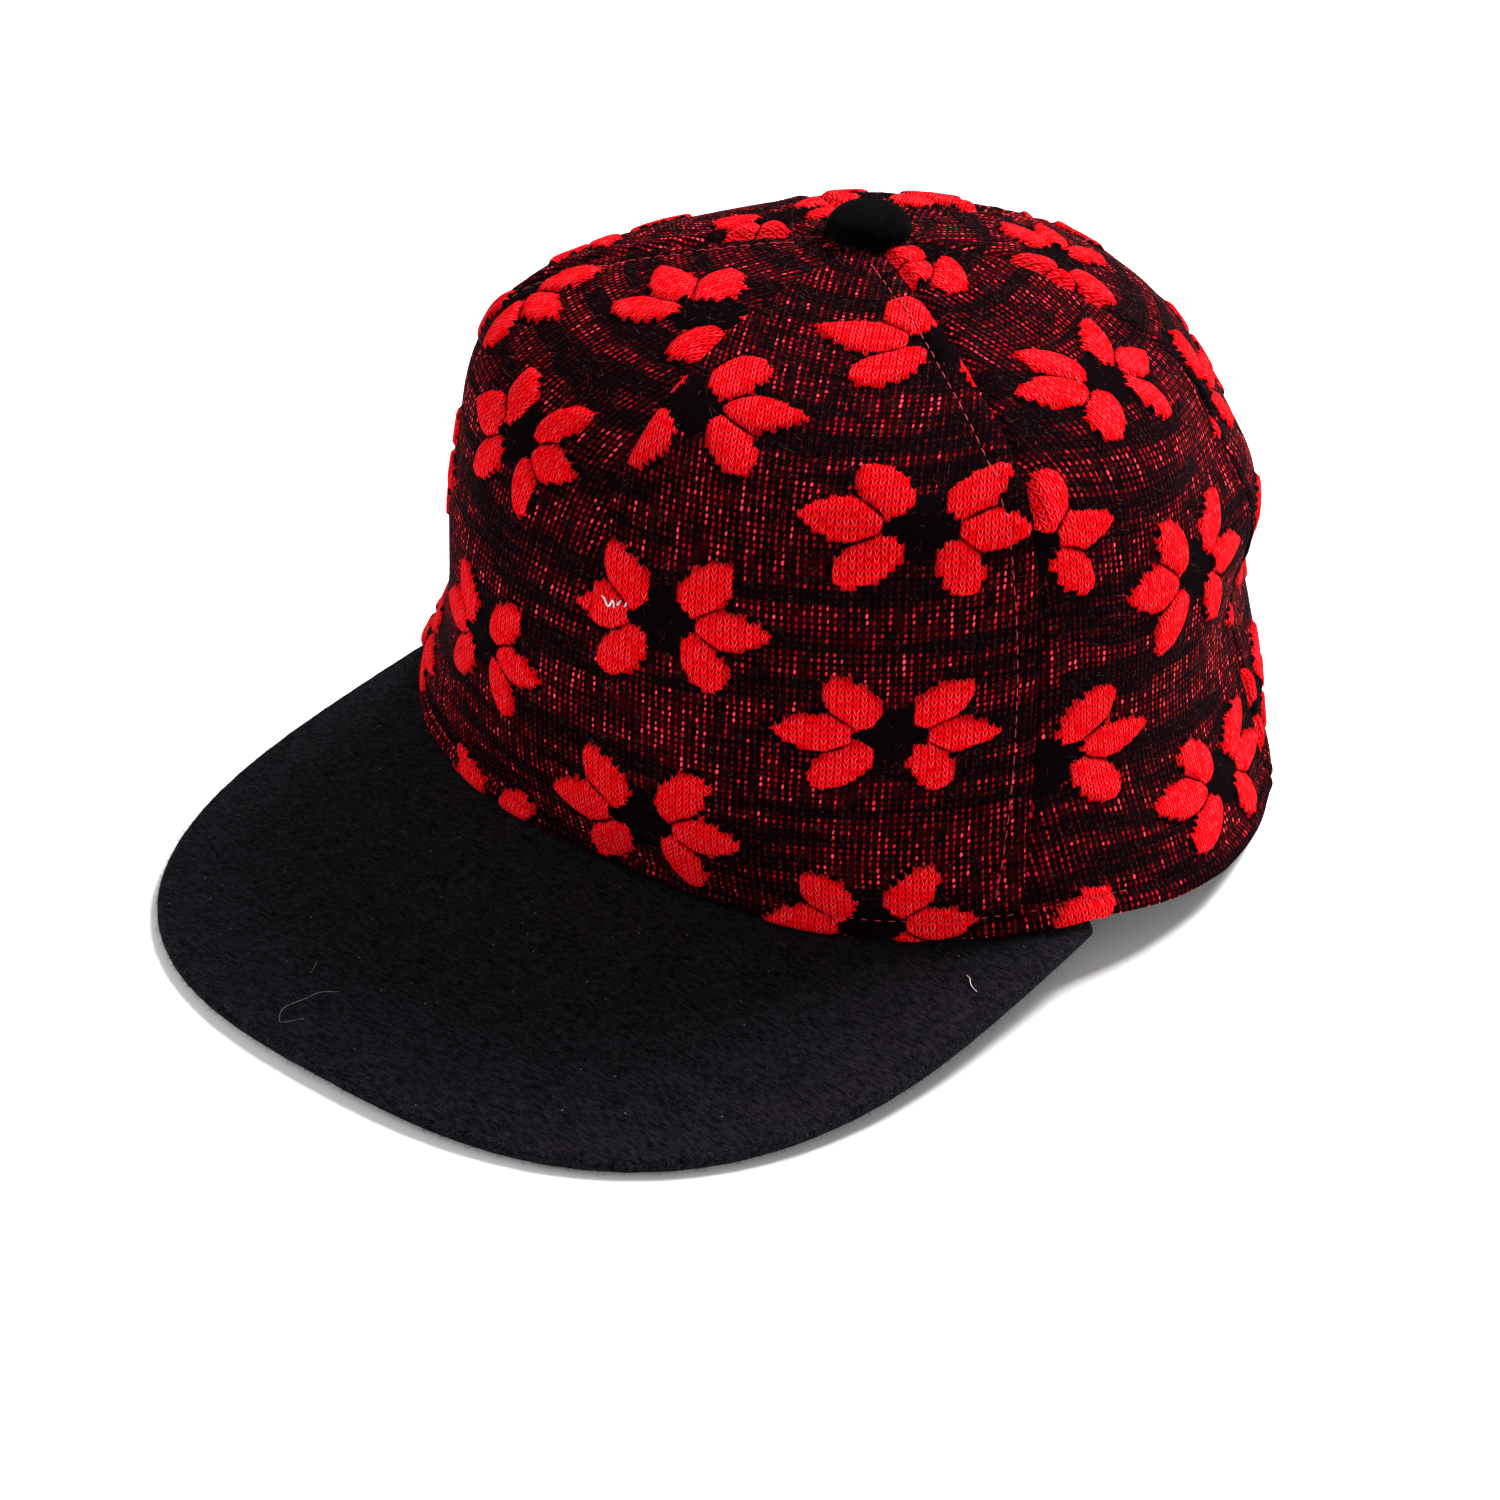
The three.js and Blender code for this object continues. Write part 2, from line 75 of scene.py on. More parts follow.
# Share of the hem's reach kept at each height of the crown, hem to apex
SECTION_COLUMNS = ("height", "front", "temple", "rear_side", "back")
SECTIONS = np.array([
    (0.0, 1.0, 1.0, 1.0, 1.0),
    (0.15, 1.06, 0.953, 0.915, 1.01),
    (0.3, 1.08, 0.897, 0.885, 1.012),
    (0.5, 1.063, 0.885, 0.862, 0.965),
    (0.68, 0.995, 0.861, 0.797, 0.855),
    (0.82, 0.867, 0.79, 0.69, 0.722),
    (0.92, 0.63, 0.543, 0.478, 0.492),
    (0.975, 0.329, 0.24, 0.3, 0.235),
    (1.0, 0.0, 0.0, 0.0, 0.0),
])

# Folds and dents of the crown's wall: angle, share of the height, the spread of
# each, and depth
FOLDS = np.array([
    (128.0, 0.37, 22.0, 0.11, -0.7),
    (132.0, 0.15, 22.0, 0.11, 0.65),
    (124.0, 0.54, 22.0, 0.12, 0.9),
    (-64.0, 0.07, 12.0, 0.07, 0.5),
    (-34.0, 0.6, 14.0, 0.08, -0.2),
    (34.0, 0.74, 15.0, 0.08, 0.15),
])

# The six petals of a flower in mm from its heart: where each starts and ends, its
# half width, and how bluntly its root and its tip are rounded
PETALS = np.array([
    (-4.34, 2.07, -12.7, 11.9, 4.8, 0.4, 0.6),
    (-7.48, 0.33, -23.4, -0.1, 4.6, 0.42, 0.78),
    (-4.06, -3.16, -15.1, -11.7, 4.25, 0.42, 0.45),
    (4.77, -2.4, 10.4, -12.6, 4.15, 0.42, 0.42),
    (6.72, -0.52, 21.4, -1.06, 3.9, 0.4, 0.75),
    (3.97, 2.72, 14.6, 11.1, 4.25, 0.4, 0.52),
])
HEART_ACROSS = 8.8
HEART_UP = 6.2
HEART_POWER = 1.35
FAR_OUTSIDE = -50.0

# Flowers on the cloth of each gore: mm across from its middle, mm up from its hem,
# degrees of turn, and the stretch of the cloth across and up
FRONT_FLOWERS = np.array([
    (-83.0, 18.0, 0.0, 1.0, 1.0),
    (-83.0, 62.0, 0.0, 1.0, 1.0),
    (-79.65, 100.07, 17.3, 1.12, 1.09),
    (-31.5, -3.0, 0.0, 1.0, 1.0),
    (-31.93, 41.1, 2.15, 1.0, 1.04),
    (-34.02, 84.15, 1.2, 0.89, 1.03),
    (-32.16, 127.97, -3.35, 1.15, 1.04),
    (15.54, 18.6, 2.9, 1.02, 1.16),
    (19.67, 63.79, 4.73, 1.04, 1.02),
    (20.88, 106.22, 9.36, 1.14, 1.11),
    (62.66, 3.62, 7.61, 0.97, 1.0),
    (65.39, 45.36, -1.09, 1.02, 0.94),
    (69.64, 86.42, -4.76, 1.05, 0.99),
    (70.87, 132.08, -4.98, 1.2, 1.16),
    (118.0, 24.0, 0.0, 1.0, 1.0),
])
LEFT_FLOWERS = np.array([
    (-52.81, -5.65, 4.13, 1.31, 0.96),
    (-42.15, 33.43, 11.36, 1.36, 0.96),
    (-43.28, 78.98, 14.27, 0.99, 1.02),
    (-0.6, 111.2, 0.5, 1.03, 1.05),
    (5.3, 66.1, 1.0, 1.1, 1.11),
    (13.5, 16.8, -4.0, 1.32, 0.93),
    (4.9, 158.49, 17.23, 1.08, 0.8),
    (57.7, 42.74, 0.0, 1.0, 1.0),
    (55.79, 88.98, 4.0, 1.0, 1.0),
])
BACK_LEFT_FLOWERS = np.array([
    (-8.7, 133.0, 0.0, 1.0, 1.0),
    (-34.0, 94.0, 0.0, 1.0, 1.0),
    (-38.0, 18.0, 0.0, 1.0, 1.0),
    (-40.0, 56.0, 0.0, 1.0, 1.0),
    (10.0, 42.0, 0.0, 1.0, 1.0),
    (12.0, 88.0, 0.0, 1.0, 1.0),
    (44.0, 20.0, 0.0, 1.0, 1.0),
    (44.0, 66.0, 0.0, 1.0, 1.0),
    (40.0, 112.0, 0.0, 1.0, 1.0),
])


def smoothstep(value: np.ndarray, low: float, high: float) -> np.ndarray:
    """Returns 0 below low, 1 above high and the cubic 3s^2 - 2s^3 between them."""
    share = np.clip((value - low) / (high - low), 0.0, 1.0)
    return share * share * (3.0 - 2.0 * share)


def bell(away: np.ndarray, width: float) -> np.ndarray:
    """Returns the bell exp(-(away/width)^2)."""
    return np.exp(-((away / width) ** 2))


def lerp(first: np.ndarray, second: np.ndarray, share: np.ndarray) -> np.ndarray:
    """Returns the straight mix of two values."""
    return first + (second - first) * share


def unit(vectors: np.ndarray) -> np.ndarray:
    """Returns vectors of length one along the last axis."""
    return vectors / np.maximum(np.linalg.norm(vectors, axis=-1, keepdims=True), 1e-12)


def soft_noise(across: np.ndarray, up: np.ndarray, cell: float, seed: int) -> np.ndarray:
    """Makes smooth lumps from random values on a square lattice.

    The value is the mix of the four corner values of the lattice cell, each share
    eased with 3s^2 - 2s^3, so the surface has no creases at the cell's edges.

    Args:
        across: Places along the first direction, in mm.
        up: Places along the second direction, in mm.
        cell: Size of a lattice cell, in mm.
        seed: Seed of the random values.

    Returns:
        Values from -1 to 1 in the shape of the places.
    """
    size, shift = 256, 1000.0
    lattice = np.random.default_rng(seed).uniform(-1.0, 1.0, (size, size))
    x, y = across / cell + shift, up / cell + shift
    column, row = np.floor(x).astype(int), np.floor(y).astype(int)
    share_x, share_y = smoothstep(x - column, 0.0, 1.0), smoothstep(y - row, 0.0, 1.0)
    corner = lambda i, j: lattice[(column + i) % size, (row + j) % size]
    low = lerp(corner(0, 0), corner(1, 0), share_x)
    high = lerp(corner(0, 1), corner(1, 1), share_x)
    return lerp(low, high, share_y)


def ring_turns(sides: int) -> np.ndarray:
    """Turns of the points of a ring, in radians."""
    return np.arange(sides) * 2.0 * math.pi / sides


def petal_shapes() -> Iterator[tuple]:
    """Works out the lines and widths of a flower's petals.

    A petal's half width at share s of its length is w s^p (1-s)^q, where w is its
    widest half width over the peak of s^p (1-s)^q, which lies at s = p/(p+q).

    Yields:
        Each petal's root, line, length, p, q and w, in mm.
    """
    for root_x, root_y, tip_x, tip_y, half, root_power, tip_power in PETALS:
        root, run = np.array([root_x, root_y]), np.array([tip_x - root_x, tip_y - root_y])
        length = math.hypot(*run)
        widest = root_power / (root_power + tip_power)
        peak = widest**root_power * (1.0 - widest) ** tip_power
        yield root, run / length, length, root_power, tip_power, half / peak


class NaturalSpline:
    """A smooth curve through values at 0, 1, 2 and so on, straight at both ends."""

    def __init__(self, values: np.ndarray) -> None:
        """Solves the bends at the knots.

        Each inner knot's bend and its neighbours' satisfy b[i-1] + 4 b[i] + b[i+1] =
        6 (v[i-1] - 2 v[i] + v[i+1]), and the end bends are nil.

        Args:
            values: The values at the knots.
        """
        self.values = values
        count = len(values)
        system = np.eye(count)
        inner = np.arange(1, count - 1)
        system[inner, inner] = 4.0
        system[inner, inner - 1] = 1.0
        system[inner, inner + 1] = 1.0
        right = np.zeros(count)
        right[1:-1] = 6.0 * (values[:-2] - 2.0 * values[1:-1] + values[2:])
        self.bends = np.linalg.solve(system, right)

    def at(self, place: np.ndarray) -> np.ndarray:
        """Reads the curve.

        Args:
            place: Places along the knots.

        Returns:
            The curve's values there.
        """
        cell = np.clip(np.floor(place).astype(int), 0, len(self.values) - 2)
        share = place - cell
        rest = 1.0 - share
        straight = self.values[cell] * rest + self.values[cell + 1] * share
        first = (rest**3 - rest) * self.bends[cell] / 6.0
        second = (share**3 - share) * self.bends[cell + 1] / 6.0
        return straight + first + second


@dataclass(frozen=True)
class CapForm:
    """The shape that all the pieces share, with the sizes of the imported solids."""

    hem_front: float = 84.0
    hem_temple: float = 96.5
    hem_rear_side: float = 88.5
    hem_back: float = 92.0
    crown_height: float = 121.5
    side_lean: float = 2.2
    cloth: float = 2.0
    gap: float = 0.3
    temple_angle: float = 61.0
    temple_hem_drift: float = 3.0
    temple_drift_height: float = 0.35
    rear_side_angle: float = 120.0
    apex_hole: float = 3.0
    half_seam_depth: float = 0.9
    half_seam_width: float = 5.0
    half_seam_length: float = 78.0
    half_seam_fade: float = 0.7
    fold_relief: float = 4.0
    hem_flat_angle: float = 150.0
    hem_fall: float = 2.0
    arch_half_width: float = 38.0
    arch_height: float = 50.0
    brim_half_width: float = 91.0
    brim_widest_forward: float = 68.0
    brim_tip_reach: float = 95.0
    brim_roundness: float = 2.63
    brim_thickness: float = 3.2
    brim_pitch: float = 6.35
    brim_sag: float = 5.0
    brim_end_angle: float = 66.5
    brim_tuck: float = 4.6
    brim_end_lip: float = 1.8
    splines: dict = field(default_factory=dict)

    def __post_init__(self) -> None:
        """Fits the height and reach curves and finds the brim's lift."""
        sides = (self.hem_front, self.hem_temple, self.hem_rear_side, self.hem_back)
        for column, reach, values in zip(SECTION_COLUMNS, (1.0, *sides), SECTIONS.T):
            self.splines[column] = NaturalSpline(values * reach)
        outline = self.brim_outline(400)
        lowest = self.brim_rise(outline[:, 0], outline[:, 1]).min()
        self.splines["lift"] = self.brim_thickness + self.gap - lowest
        stations = np.linspace(0.0, len(SECTIONS) - 1.0, 4000)
        self.splines["stations"] = stations
        self.splines["heights"] = self.splines["height"].at(stations)

    @property
    def last_station(self) -> float:
        """The station of the apex."""
        return len(SECTIONS) - 1.0

    @property
    def brim_lift(self) -> float:
        """Height that brings the lowest point of the brim's edge to the surface."""
        return self.splines["lift"]

    def reach(self, angle: np.ndarray, station: np.ndarray) -> np.ndarray:
        """Distance of the wall from the button's axis.

        It is the sum mean + once cos(a) + twice cos(2a) + thrice cos(3a) that passes
        through the front, temple, rear side and back curves at 0, 60, 120 and 180.

        Args:
            angle: Angles round the crown, in degrees.
            station: Stations, from 0 at the hem to 8 at the apex.

        Returns:
            The reach, in mm.
        """
        front, temple, rear, back = (
            self.splines[name].at(station) for name in SECTION_COLUMNS[1:]
        )
        turn = np.radians(angle)
        mean = (front + 2.0 * temple + 2.0 * rear + back) / 6.0
        once = (front + temple - rear - back) / 3.0
        twice = (front - temple - rear + back) / 3.0
        thrice = (front - 2.0 * temple + 2.0 * rear - back) / 6.0
        waves = twice * np.cos(2.0 * turn) + thrice * np.cos(3.0 * turn)
        return mean + once * np.cos(turn) + waves

    def share_at(self, station: np.ndarray) -> np.ndarray:
        """Share of the crown's height at a station."""
        return self.splines["height"].at(station)

    def station_at(self, share: np.ndarray) -> np.ndarray:
        """Station at a share of the crown's height."""
        return np.interp(share, self.splines["heights"], self.splines["stations"])

    def station_at_radius(self, angle: np.ndarray, radius: float) -> np.ndarray:
        """Station where a meridian comes within a radius of the axis, by halving."""
        low = np.full(np.shape(angle), self.last_station - 1.0)
        high = np.full(np.shape(angle), self.last_station)
        for _ in range(40):
            middle = (low + high) / 2.0
            outside = self.reach(angle, middle) > radius
            low, high = np.where(outside, middle, low), np.where(outside, high, middle)
        return low

    def brim_rise(self, x: np.ndarray, y: np.ndarray) -> np.ndarray:
        """Rise of the brim's upper face: its pitch line less a sideways parabola."""
        pitch = math.tan(math.radians(self.brim_pitch))
        sag = self.brim_sag * (x / self.brim_half_width) ** 2
        return pitch * (y + self.hem_front) - sag

    def brim_outline(self, count: int) -> np.ndarray:
        """Outline of the brim from its right end to its left.

        The front is the superellipse |x/a|^n + |y/b|^n = 1 ahead of the widest line,
        and each side runs back to the hem with x changing as the square of the run.

        Args:
            count: Number of evenly spaced points.

        Returns:
            Points of shape (count, 2), in mm.
        """
        turn = math.radians(self.brim_end_angle)
        end = float(self.reach(self.brim_end_angle, np.array(0.0))) + self.brim_end_lip
        end_x, end_y = end * math.sin(turn), -end * math.cos(turn)
        run = np.linspace(0.0, 1.0, 200)
        side_x = lerp(self.brim_half_width, end_x, run**2)
        side_y = lerp(-self.brim_widest_forward, end_y, run)
        sweep = np.linspace(-0.5, 0.5, 800)[1:-1] * math.pi
        power = 2.0 / self.brim_roundness
        front_x = self.brim_half_width * np.sign(sweep) * np.abs(np.sin(sweep)) ** power
        front_y = -self.brim_widest_forward - self.brim_tip_reach * np.cos(sweep) ** power
        x = np.concatenate([-side_x[::-1], front_x, side_x])
        y = np.concatenate([side_y[::-1], front_y, side_y])
        steps = np.hypot(np.diff(x), np.diff(y))
        along = np.concatenate([[0.0], np.cumsum(steps)])
        even = np.linspace(0.0, along[-1], count)
        return np.stack([np.interp(even, along, x), np.interp(even, along, y)], axis=-1)

    def hem_height(self, angle: np.ndarray) -> np.ndarray:
        """Height of the hem: on the brim, then falling to the surface behind it."""
        around = np.abs(angle)
        held = np.minimum(around, self.brim_end_angle)
        reach = self.reach(held, np.zeros_like(held))
        turn = np.radians(held)
        rise = self.brim_rise(reach * np.sin(turn), -reach * np.cos(turn))
        height = self.brim_lift + rise
        span = self.hem_flat_angle - self.brim_end_angle
        left = 1.0 - np.clip((around - self.brim_end_angle) / span, 0.0, 1.0)
        return height * left**self.hem_fall

    def wall(self, angle: np.ndarray, station: np.ndarray) -> np.ndarray:
        """Point on the outer face of the crown's cloth.

        The reach carries the folds, each a bell of angle and height, and the dip of
        the half seam. The height runs from the hem's line to the apex.

        Args:
            angle: Angles round the crown, in degrees.
            station: Stations, from 0 at the hem to 8 at the apex.

        Returns:
            Points with x, y and z along the last axis, in mm.
        """
        angle, station = np.broadcast_arrays(np.asarray(angle, float), station)
        share = self.share_at(station)
        plain = self.reach(angle, station)
        turn = np.radians(angle)
        reach = plain - self.half_seam_dip(angle, station, plain)
        for at, height, wide, tall, depth in FOLDS:
            fold = depth * bell(angle - at, wide) * bell(share - height, tall)
            reach = reach + self.fold_relief * fold
        lean = self.side_lean * np.sin(math.pi * np.clip(share, 0.0, 1.0))
        height = share * self.crown_height + self.hem_height(angle) * (1.0 - share)
        return np.stack([reach * np.sin(turn) + lean, -reach * np.cos(turn), height], -1)

    def half_seam_share(self, station: np.ndarray) -> np.ndarray:
        """Strength of the half seam at a station, from 1 at the apex to 0 at its end."""
        below = (1.0 - self.share_at(station)) * self.crown_height
        fade_from = self.half_seam_length * self.half_seam_fade
        return 1.0 - smoothstep(below, fade_from, self.half_seam_length)

    def half_seam_dip(
        self, angle: np.ndarray, station: np.ndarray, reach: np.ndarray
    ) -> np.ndarray:
        """Dip of the wall along the half seam: a bell across it, on the front only."""
        turn = np.radians(angle)
        dip = bell(reach * np.sin(turn), self.half_seam_width) * (np.cos(turn) > 0.0)
        return self.half_seam_depth * self.half_seam_share(station) * dip

    def outward(self, angle: np.ndarray, station: np.ndarray) -> np.ndarray:
        """Direction out of the wall, level at the hem.

        It is the cross product of the steps round and up the wall, with its height
        eased in over the first station.

        Args:
            angle: Angles round the crown, in degrees.
            station: Stations, from 0 at the hem to 8 at the apex.

        Returns:
            Unit vectors along the last axis.
        """
        round_step, up_step = 0.2, 0.02
        after = self.wall(angle + round_step, station)
        around = after - self.wall(angle - round_step, station)
        lower = np.maximum(station - up_step, 0.0)
        upward = self.wall(angle, lower + up_step) - self.wall(angle, lower)
        normal = np.cross(around, upward)
        normal[..., 2] *= smoothstep(station, 0.0, 1.0)
        return unit(normal)

    def seam_angle(self, angle: float, station: np.ndarray) -> np.ndarray:
        """Angle of a seam, which at the temples drifts forward near the hem."""
        if abs(angle) != self.temple_angle:
            return np.full(np.shape(station), angle)
        near_hem = 1.0 - smoothstep(self.share_at(station), 0.0, self.temple_drift_height)
        return angle - math.copysign(self.temple_hem_drift, angle) * near_hem

    def arch_station(self, angle: np.ndarray) -> np.ndarray:
        """Lowest station of the cloth: the hem, or the rear arch's half ellipse."""
        half_angle = math.degrees(self.arch_half_width / self.hem_back)
        from_back = np.minimum(np.abs(180.0 - np.abs(angle)) / half_angle, 1.0)
        height = self.arch_height / self.crown_height
        return self.station_at(height * np.sqrt(1.0 - from_back**2))


class Cloth:
    """Flat places on one gore's cloth, in mm.

    Across is the length along a level ring from the gore's own meridian, and up is
    the length along a meridian from the hem. Where a gore is one cloth with the one
    beside it below a height, across is counted from their shared seam up to there.
    """

    angle_margin = 4.0
    angle_steps = 241
    station_steps = 201

    def __init__(
        self, form: CapForm, right: float, left: float, seam: float | None
    ) -> None:
        """Adds up the lengths on a regular grid of the wall.

        Args:
            form: The cap's form.
            right: Angle of the gore's right seam.
            left: Angle of its left seam.
            seam: Angle of the half seam that bounds it, or None.
        """
        self.angles = np.linspace(
            right - self.angle_margin, left + self.angle_margin, self.angle_steps
        )
        self.stations = np.linspace(0.0, form.last_station, self.station_steps)
        points = form.wall(self.angles[:, None], self.stations[None, :])
        across = self._lengths(points, axis=0)
        self.up = self._lengths(points, axis=1)
        middle = self.angle_steps // 2
        anchor = np.zeros(self.station_steps)
        if seam is not None:
            at_seam = np.array([np.interp(seam, self.angles, row) for row in across.T])
            anchor = across[middle] - at_seam
            end_share = 1.0 - form.half_seam_length / form.crown_height
            end = int(np.searchsorted(self.stations, form.station_at(end_share)))
            anchor[end:] = anchor[end]
        self.across = across - across[middle] + anchor

    @staticmethod
    def _lengths(points: np.ndarray, axis: int) -> np.ndarray:
        """Returns the length walked along an axis of a grid, from its first line."""
        steps = np.linalg.norm(np.diff(points, axis=axis), axis=-1)
        first = np.zeros_like(np.take(steps, [0], axis=axis))
        return np.cumsum(np.concatenate([first, steps], axis=axis), axis=axis)

    def read(
        self, table: np.ndarray, angle: np.ndarray, station: np.ndarray
    ) -> np.ndarray:
        """Reads a table of lengths with straight mixes between its grid points."""
        x = (angle - self.angles[0]) / (self.angles[1] - self.angles[0])
        y = station / self.stations[1]
        column = np.clip(np.floor(x).astype(int), 0, self.angle_steps - 2)
        row = np.clip(np.floor(y).astype(int), 0, self.station_steps - 2)
        low = lerp(table[column, row], table[column + 1, row], x - column)
        high = lerp(table[column, row + 1], table[column + 1, row + 1], x - column)
        return lerp(low, high, y - row)

    def place(self, angle: np.ndarray, station: np.ndarray) -> np.ndarray:
        """Flat place of wall points, with across and up along the last axis, in mm."""
        across = self.read(self.across, angle, station)
        return np.stack([across, self.read(self.up, angle, station)], axis=-1)


@dataclass(frozen=True)
class Knit:
    """The knit's gauge and relief, in mm."""

    wale: float = 1.47
    course: float = 1.3
    slant: float = 1.1
    edge_slant: float = 0.35
    ragged: float = 0.3
    stepping: float = 0.75
    petal_rise: float = 1.0
    petal_shoulder: float = 2.4
    heart_rise: float = 0.55
    crease_width: float = 2.25
    crease_floor: float = 0.2

    def petal_depths(self, place: np.ndarray) -> tuple[np.ndarray, np.ndarray]:
        """How far inside the petals a place lies, in mm.

        The depth is the petal's half width there less the distance from its line,
        and less the distance past its ends.

        Args:
            place: Places across and up from the heart, along the last axis.

        Returns:
            The depth in the petal that holds the place best and in the next best
            one, both negative outside.
        """
        best = second = np.full(place.shape[:-1], FAR_OUTSIDE)
        for root, line, length, root_power, tip_power, width in petal_shapes():
            away = place - root
            share = away @ line / length
            inside = np.clip(share, 0.0, 1.0)
            half = width * inside**root_power * (1.0 - inside) ** tip_power
            beyond = np.abs(share - inside) * length
            depth = half - np.abs(away @ np.array([-line[1], line[0]])) - beyond
            second = np.maximum(second, np.minimum(best, depth))
            best = np.maximum(best, depth)
        return best, second

    def relief(self, place: np.ndarray) -> np.ndarray:
        """Rise of a flower's pads over the ground, in mm.

        A pad rises as a quarter round over its shoulder and is flat inside, two
        petals are parted by a crease, and the heart is a lower pad within
        |x/a|^p + |y/b|^p = 1.

        Args:
            place: Places across and up from the heart, along the last axis.

        Returns:
            The rise at each place.
        """
        best, second = self.petal_depths(place)
        inside = np.clip(best / self.petal_shoulder, 0.0, 1.0)
        parted = smoothstep(best - second, 0.0, self.crease_width)
        petal = self.petal_rise * np.sqrt(1.0 - (1.0 - inside) ** 2)
        petal = petal * lerp(self.crease_floor, 1.0, parted)
        spread = np.abs(place[..., 0] / HEART_ACROSS) ** HEART_POWER
        spread = spread + np.abs(place[..., 1] / HEART_UP) ** HEART_POWER
        heart = self.heart_rise * np.sqrt(np.clip(1.0 - spread, 0.0, 1.0))
        return np.maximum(petal, heart)


class Body:
    """Vertices and faces gathered from grids and tubes, in mm."""

    def __init__(self) -> None:
        """Starts with nothing."""
        self.points: list[np.ndarray] = []
        self.faces: list[np.ndarray] = []
        self.looks: list[np.ndarray] = []
        self.count = 0

    def add_points(self, points: np.ndarray) -> np.ndarray:
        """Adds points and returns their numbers in the points' own shape."""
        numbers = np.arange(points[..., 0].size).reshape(points.shape[:-1]) + self.count
        self.points.append(points.reshape(-1, 3))
        self.count += numbers.size
        return numbers

    def add_faces(self, corners: np.ndarray, look: int = 0) -> None:
        """Adds faces, one row of corner numbers each."""
        self.faces.append(corners)
        self.looks.append(np.full(len(corners), look))

    def add_grid(self, numbers: np.ndarray, look: int = 0, flip: bool = False) -> None:
        """Adds the quads of a grid of point numbers.

        Args:
            numbers: Point numbers, rows first. A quad's corners go round as row,
                next column, next row, back, which faces out for a wall whose columns
                run to the left as seen from outside.
            look: Number of the material.
            flip: Whether the quads face the other way.
        """
        corners = np.stack(
            [numbers[:-1, :-1], numbers[:-1, 1:], numbers[1:, 1:], numbers[1:, :-1]], -1
        ).reshape(-1, 4)
        self.add_faces(corners[:, ::-1] if flip else corners, look)

    def add_rim(self, fine: np.ndarray, coarse: np.ndarray, flip: bool = False) -> None:
        """Closes the strip between a fine line of points and a coarse one.

        Every fine edge makes a triangle with its nearest coarse point, and every
        coarse edge makes one with the fine point at its middle.

        Args:
            fine: Numbers of the fine line's points.
            coarse: Numbers of the coarse line's points, one for several fine ones.
            flip: Whether the triangles face the other way.
        """
        stride = (len(fine) - 1) // (len(coarse) - 1)
        start = np.arange(len(fine) - 1)
        near = (start + stride // 2) // stride
        first = np.stack([fine[start], fine[start + 1], coarse[near]], -1)
        edge = np.arange(len(coarse) - 1)
        middle = fine[edge * stride + (stride + 1) // 2]
        second = np.stack([coarse[edge + 1], coarse[edge], middle], -1)
        both = np.concatenate([first, second])
        self.add_faces(both[:, ::-1] if flip else both)

    def add_tubes(
        self, centres: np.ndarray, lifts: np.ndarray, radii: np.ndarray, sides: int
    ) -> None:
        """Adds round tubes with closed ends.

        A ring's point at turn t is centre + radius (cos t side + sin t lift), where
        side is the cross product of the tube's direction and its lift direction.

        Args:
            centres: Points of shape (tubes, rings, 3).
            lifts: Lift directions of the same shape.
            radii: Radii of shape (rings,) or (tubes, rings).
            sides: Number of points in a ring.
        """
        along = unit(np.gradient(centres, axis=1))
        side = unit(np.cross(along, lifts))
        lift = np.cross(side, along)
        turn = ring_turns(sides)[:, None]
        radii = np.broadcast_to(radii, centres.shape[:2])[..., None, None]
        ring = np.cos(turn) * side[:, :, None] + np.sin(turn) * lift[:, :, None]
        self.add_rings(centres[:, :, None] + radii * ring)

    def add_rings(self, points: np.ndarray) -> None:
        """Adds turned forms with closed ends.

        Args:
            points: Points of shape (forms, rings, sides, 3).
        """
        numbers = self.add_points(points)
        after = np.roll(numbers, -1, axis=2)
        sides = [numbers[:, :-1], numbers[:, 1:], after[:, 1:], after[:, :-1]]
        self.add_faces(np.stack(sides, -1).reshape(-1, 4))
        self.add_faces(numbers[:, 0])
        self.add_faces(numbers[:, -1, ::-1])

    def build(self, name: str, axis: np.ndarray) -> bpy.types.Object:
        """Makes the mesh object in the frame.

        Args:
            name: Name of the piece.
            axis: Place of the button's axis in the frame, in metres.

        Returns:
            The new object, smooth shaded, with its place in its mesh.
        """
        points = np.concatenate(self.points) * METRE + axis
        corners = np.concatenate([faces.ravel() for faces in self.faces])
        sizes = np.concatenate([np.full(len(f), f.shape[1]) for f in self.faces])
        mesh = bpy.data.meshes.new(name)
        mesh.vertices.add(len(points))
        mesh.vertices.foreach_set("co", points.astype(np.float32).ravel())
        mesh.loops.add(len(corners))
        mesh.loops.foreach_set("vertex_index", corners.astype(np.int32))
        mesh.polygons.add(len(sizes))
        starts = np.concatenate([[0], np.cumsum(sizes)[:-1]])
        mesh.polygons.foreach_set("loop_start", starts.astype(np.int32))
        mesh.update(calc_edges=True)
        looks = np.concatenate(self.looks).astype(np.int32)
        mesh.polygons.foreach_set("material_index", looks)
        mesh.polygons.foreach_set("use_smooth", np.ones(len(sizes), bool))
        mesh.validate(clean_customdata=False)
        made = bpy.data.objects.new(name, mesh)
        bpy.context.scene.collection.objects.link(made)
        return made


def add_map(piece: bpy.types.Object, name: str, places: np.ndarray) -> None:
    """Gives a piece a flat map.

    Args:
        piece: The piece.
        name: Name of the map.
        places: Flat places of the face corners, of shape (corners, 2).
    """
    layer = piece.data.uv_layers.new(name=name)
    layer.uv.foreach_set("vector", places.astype(np.float32).ravel())


def corner_numbers(piece: bpy.types.Object) -> np.ndarray:
    """Vertex numbers of a piece's face corners, in the order of its faces."""
    numbers = np.zeros(len(piece.data.loops), np.int32)
    piece.data.loops.foreach_get("vertex_index", numbers)
    return numbers


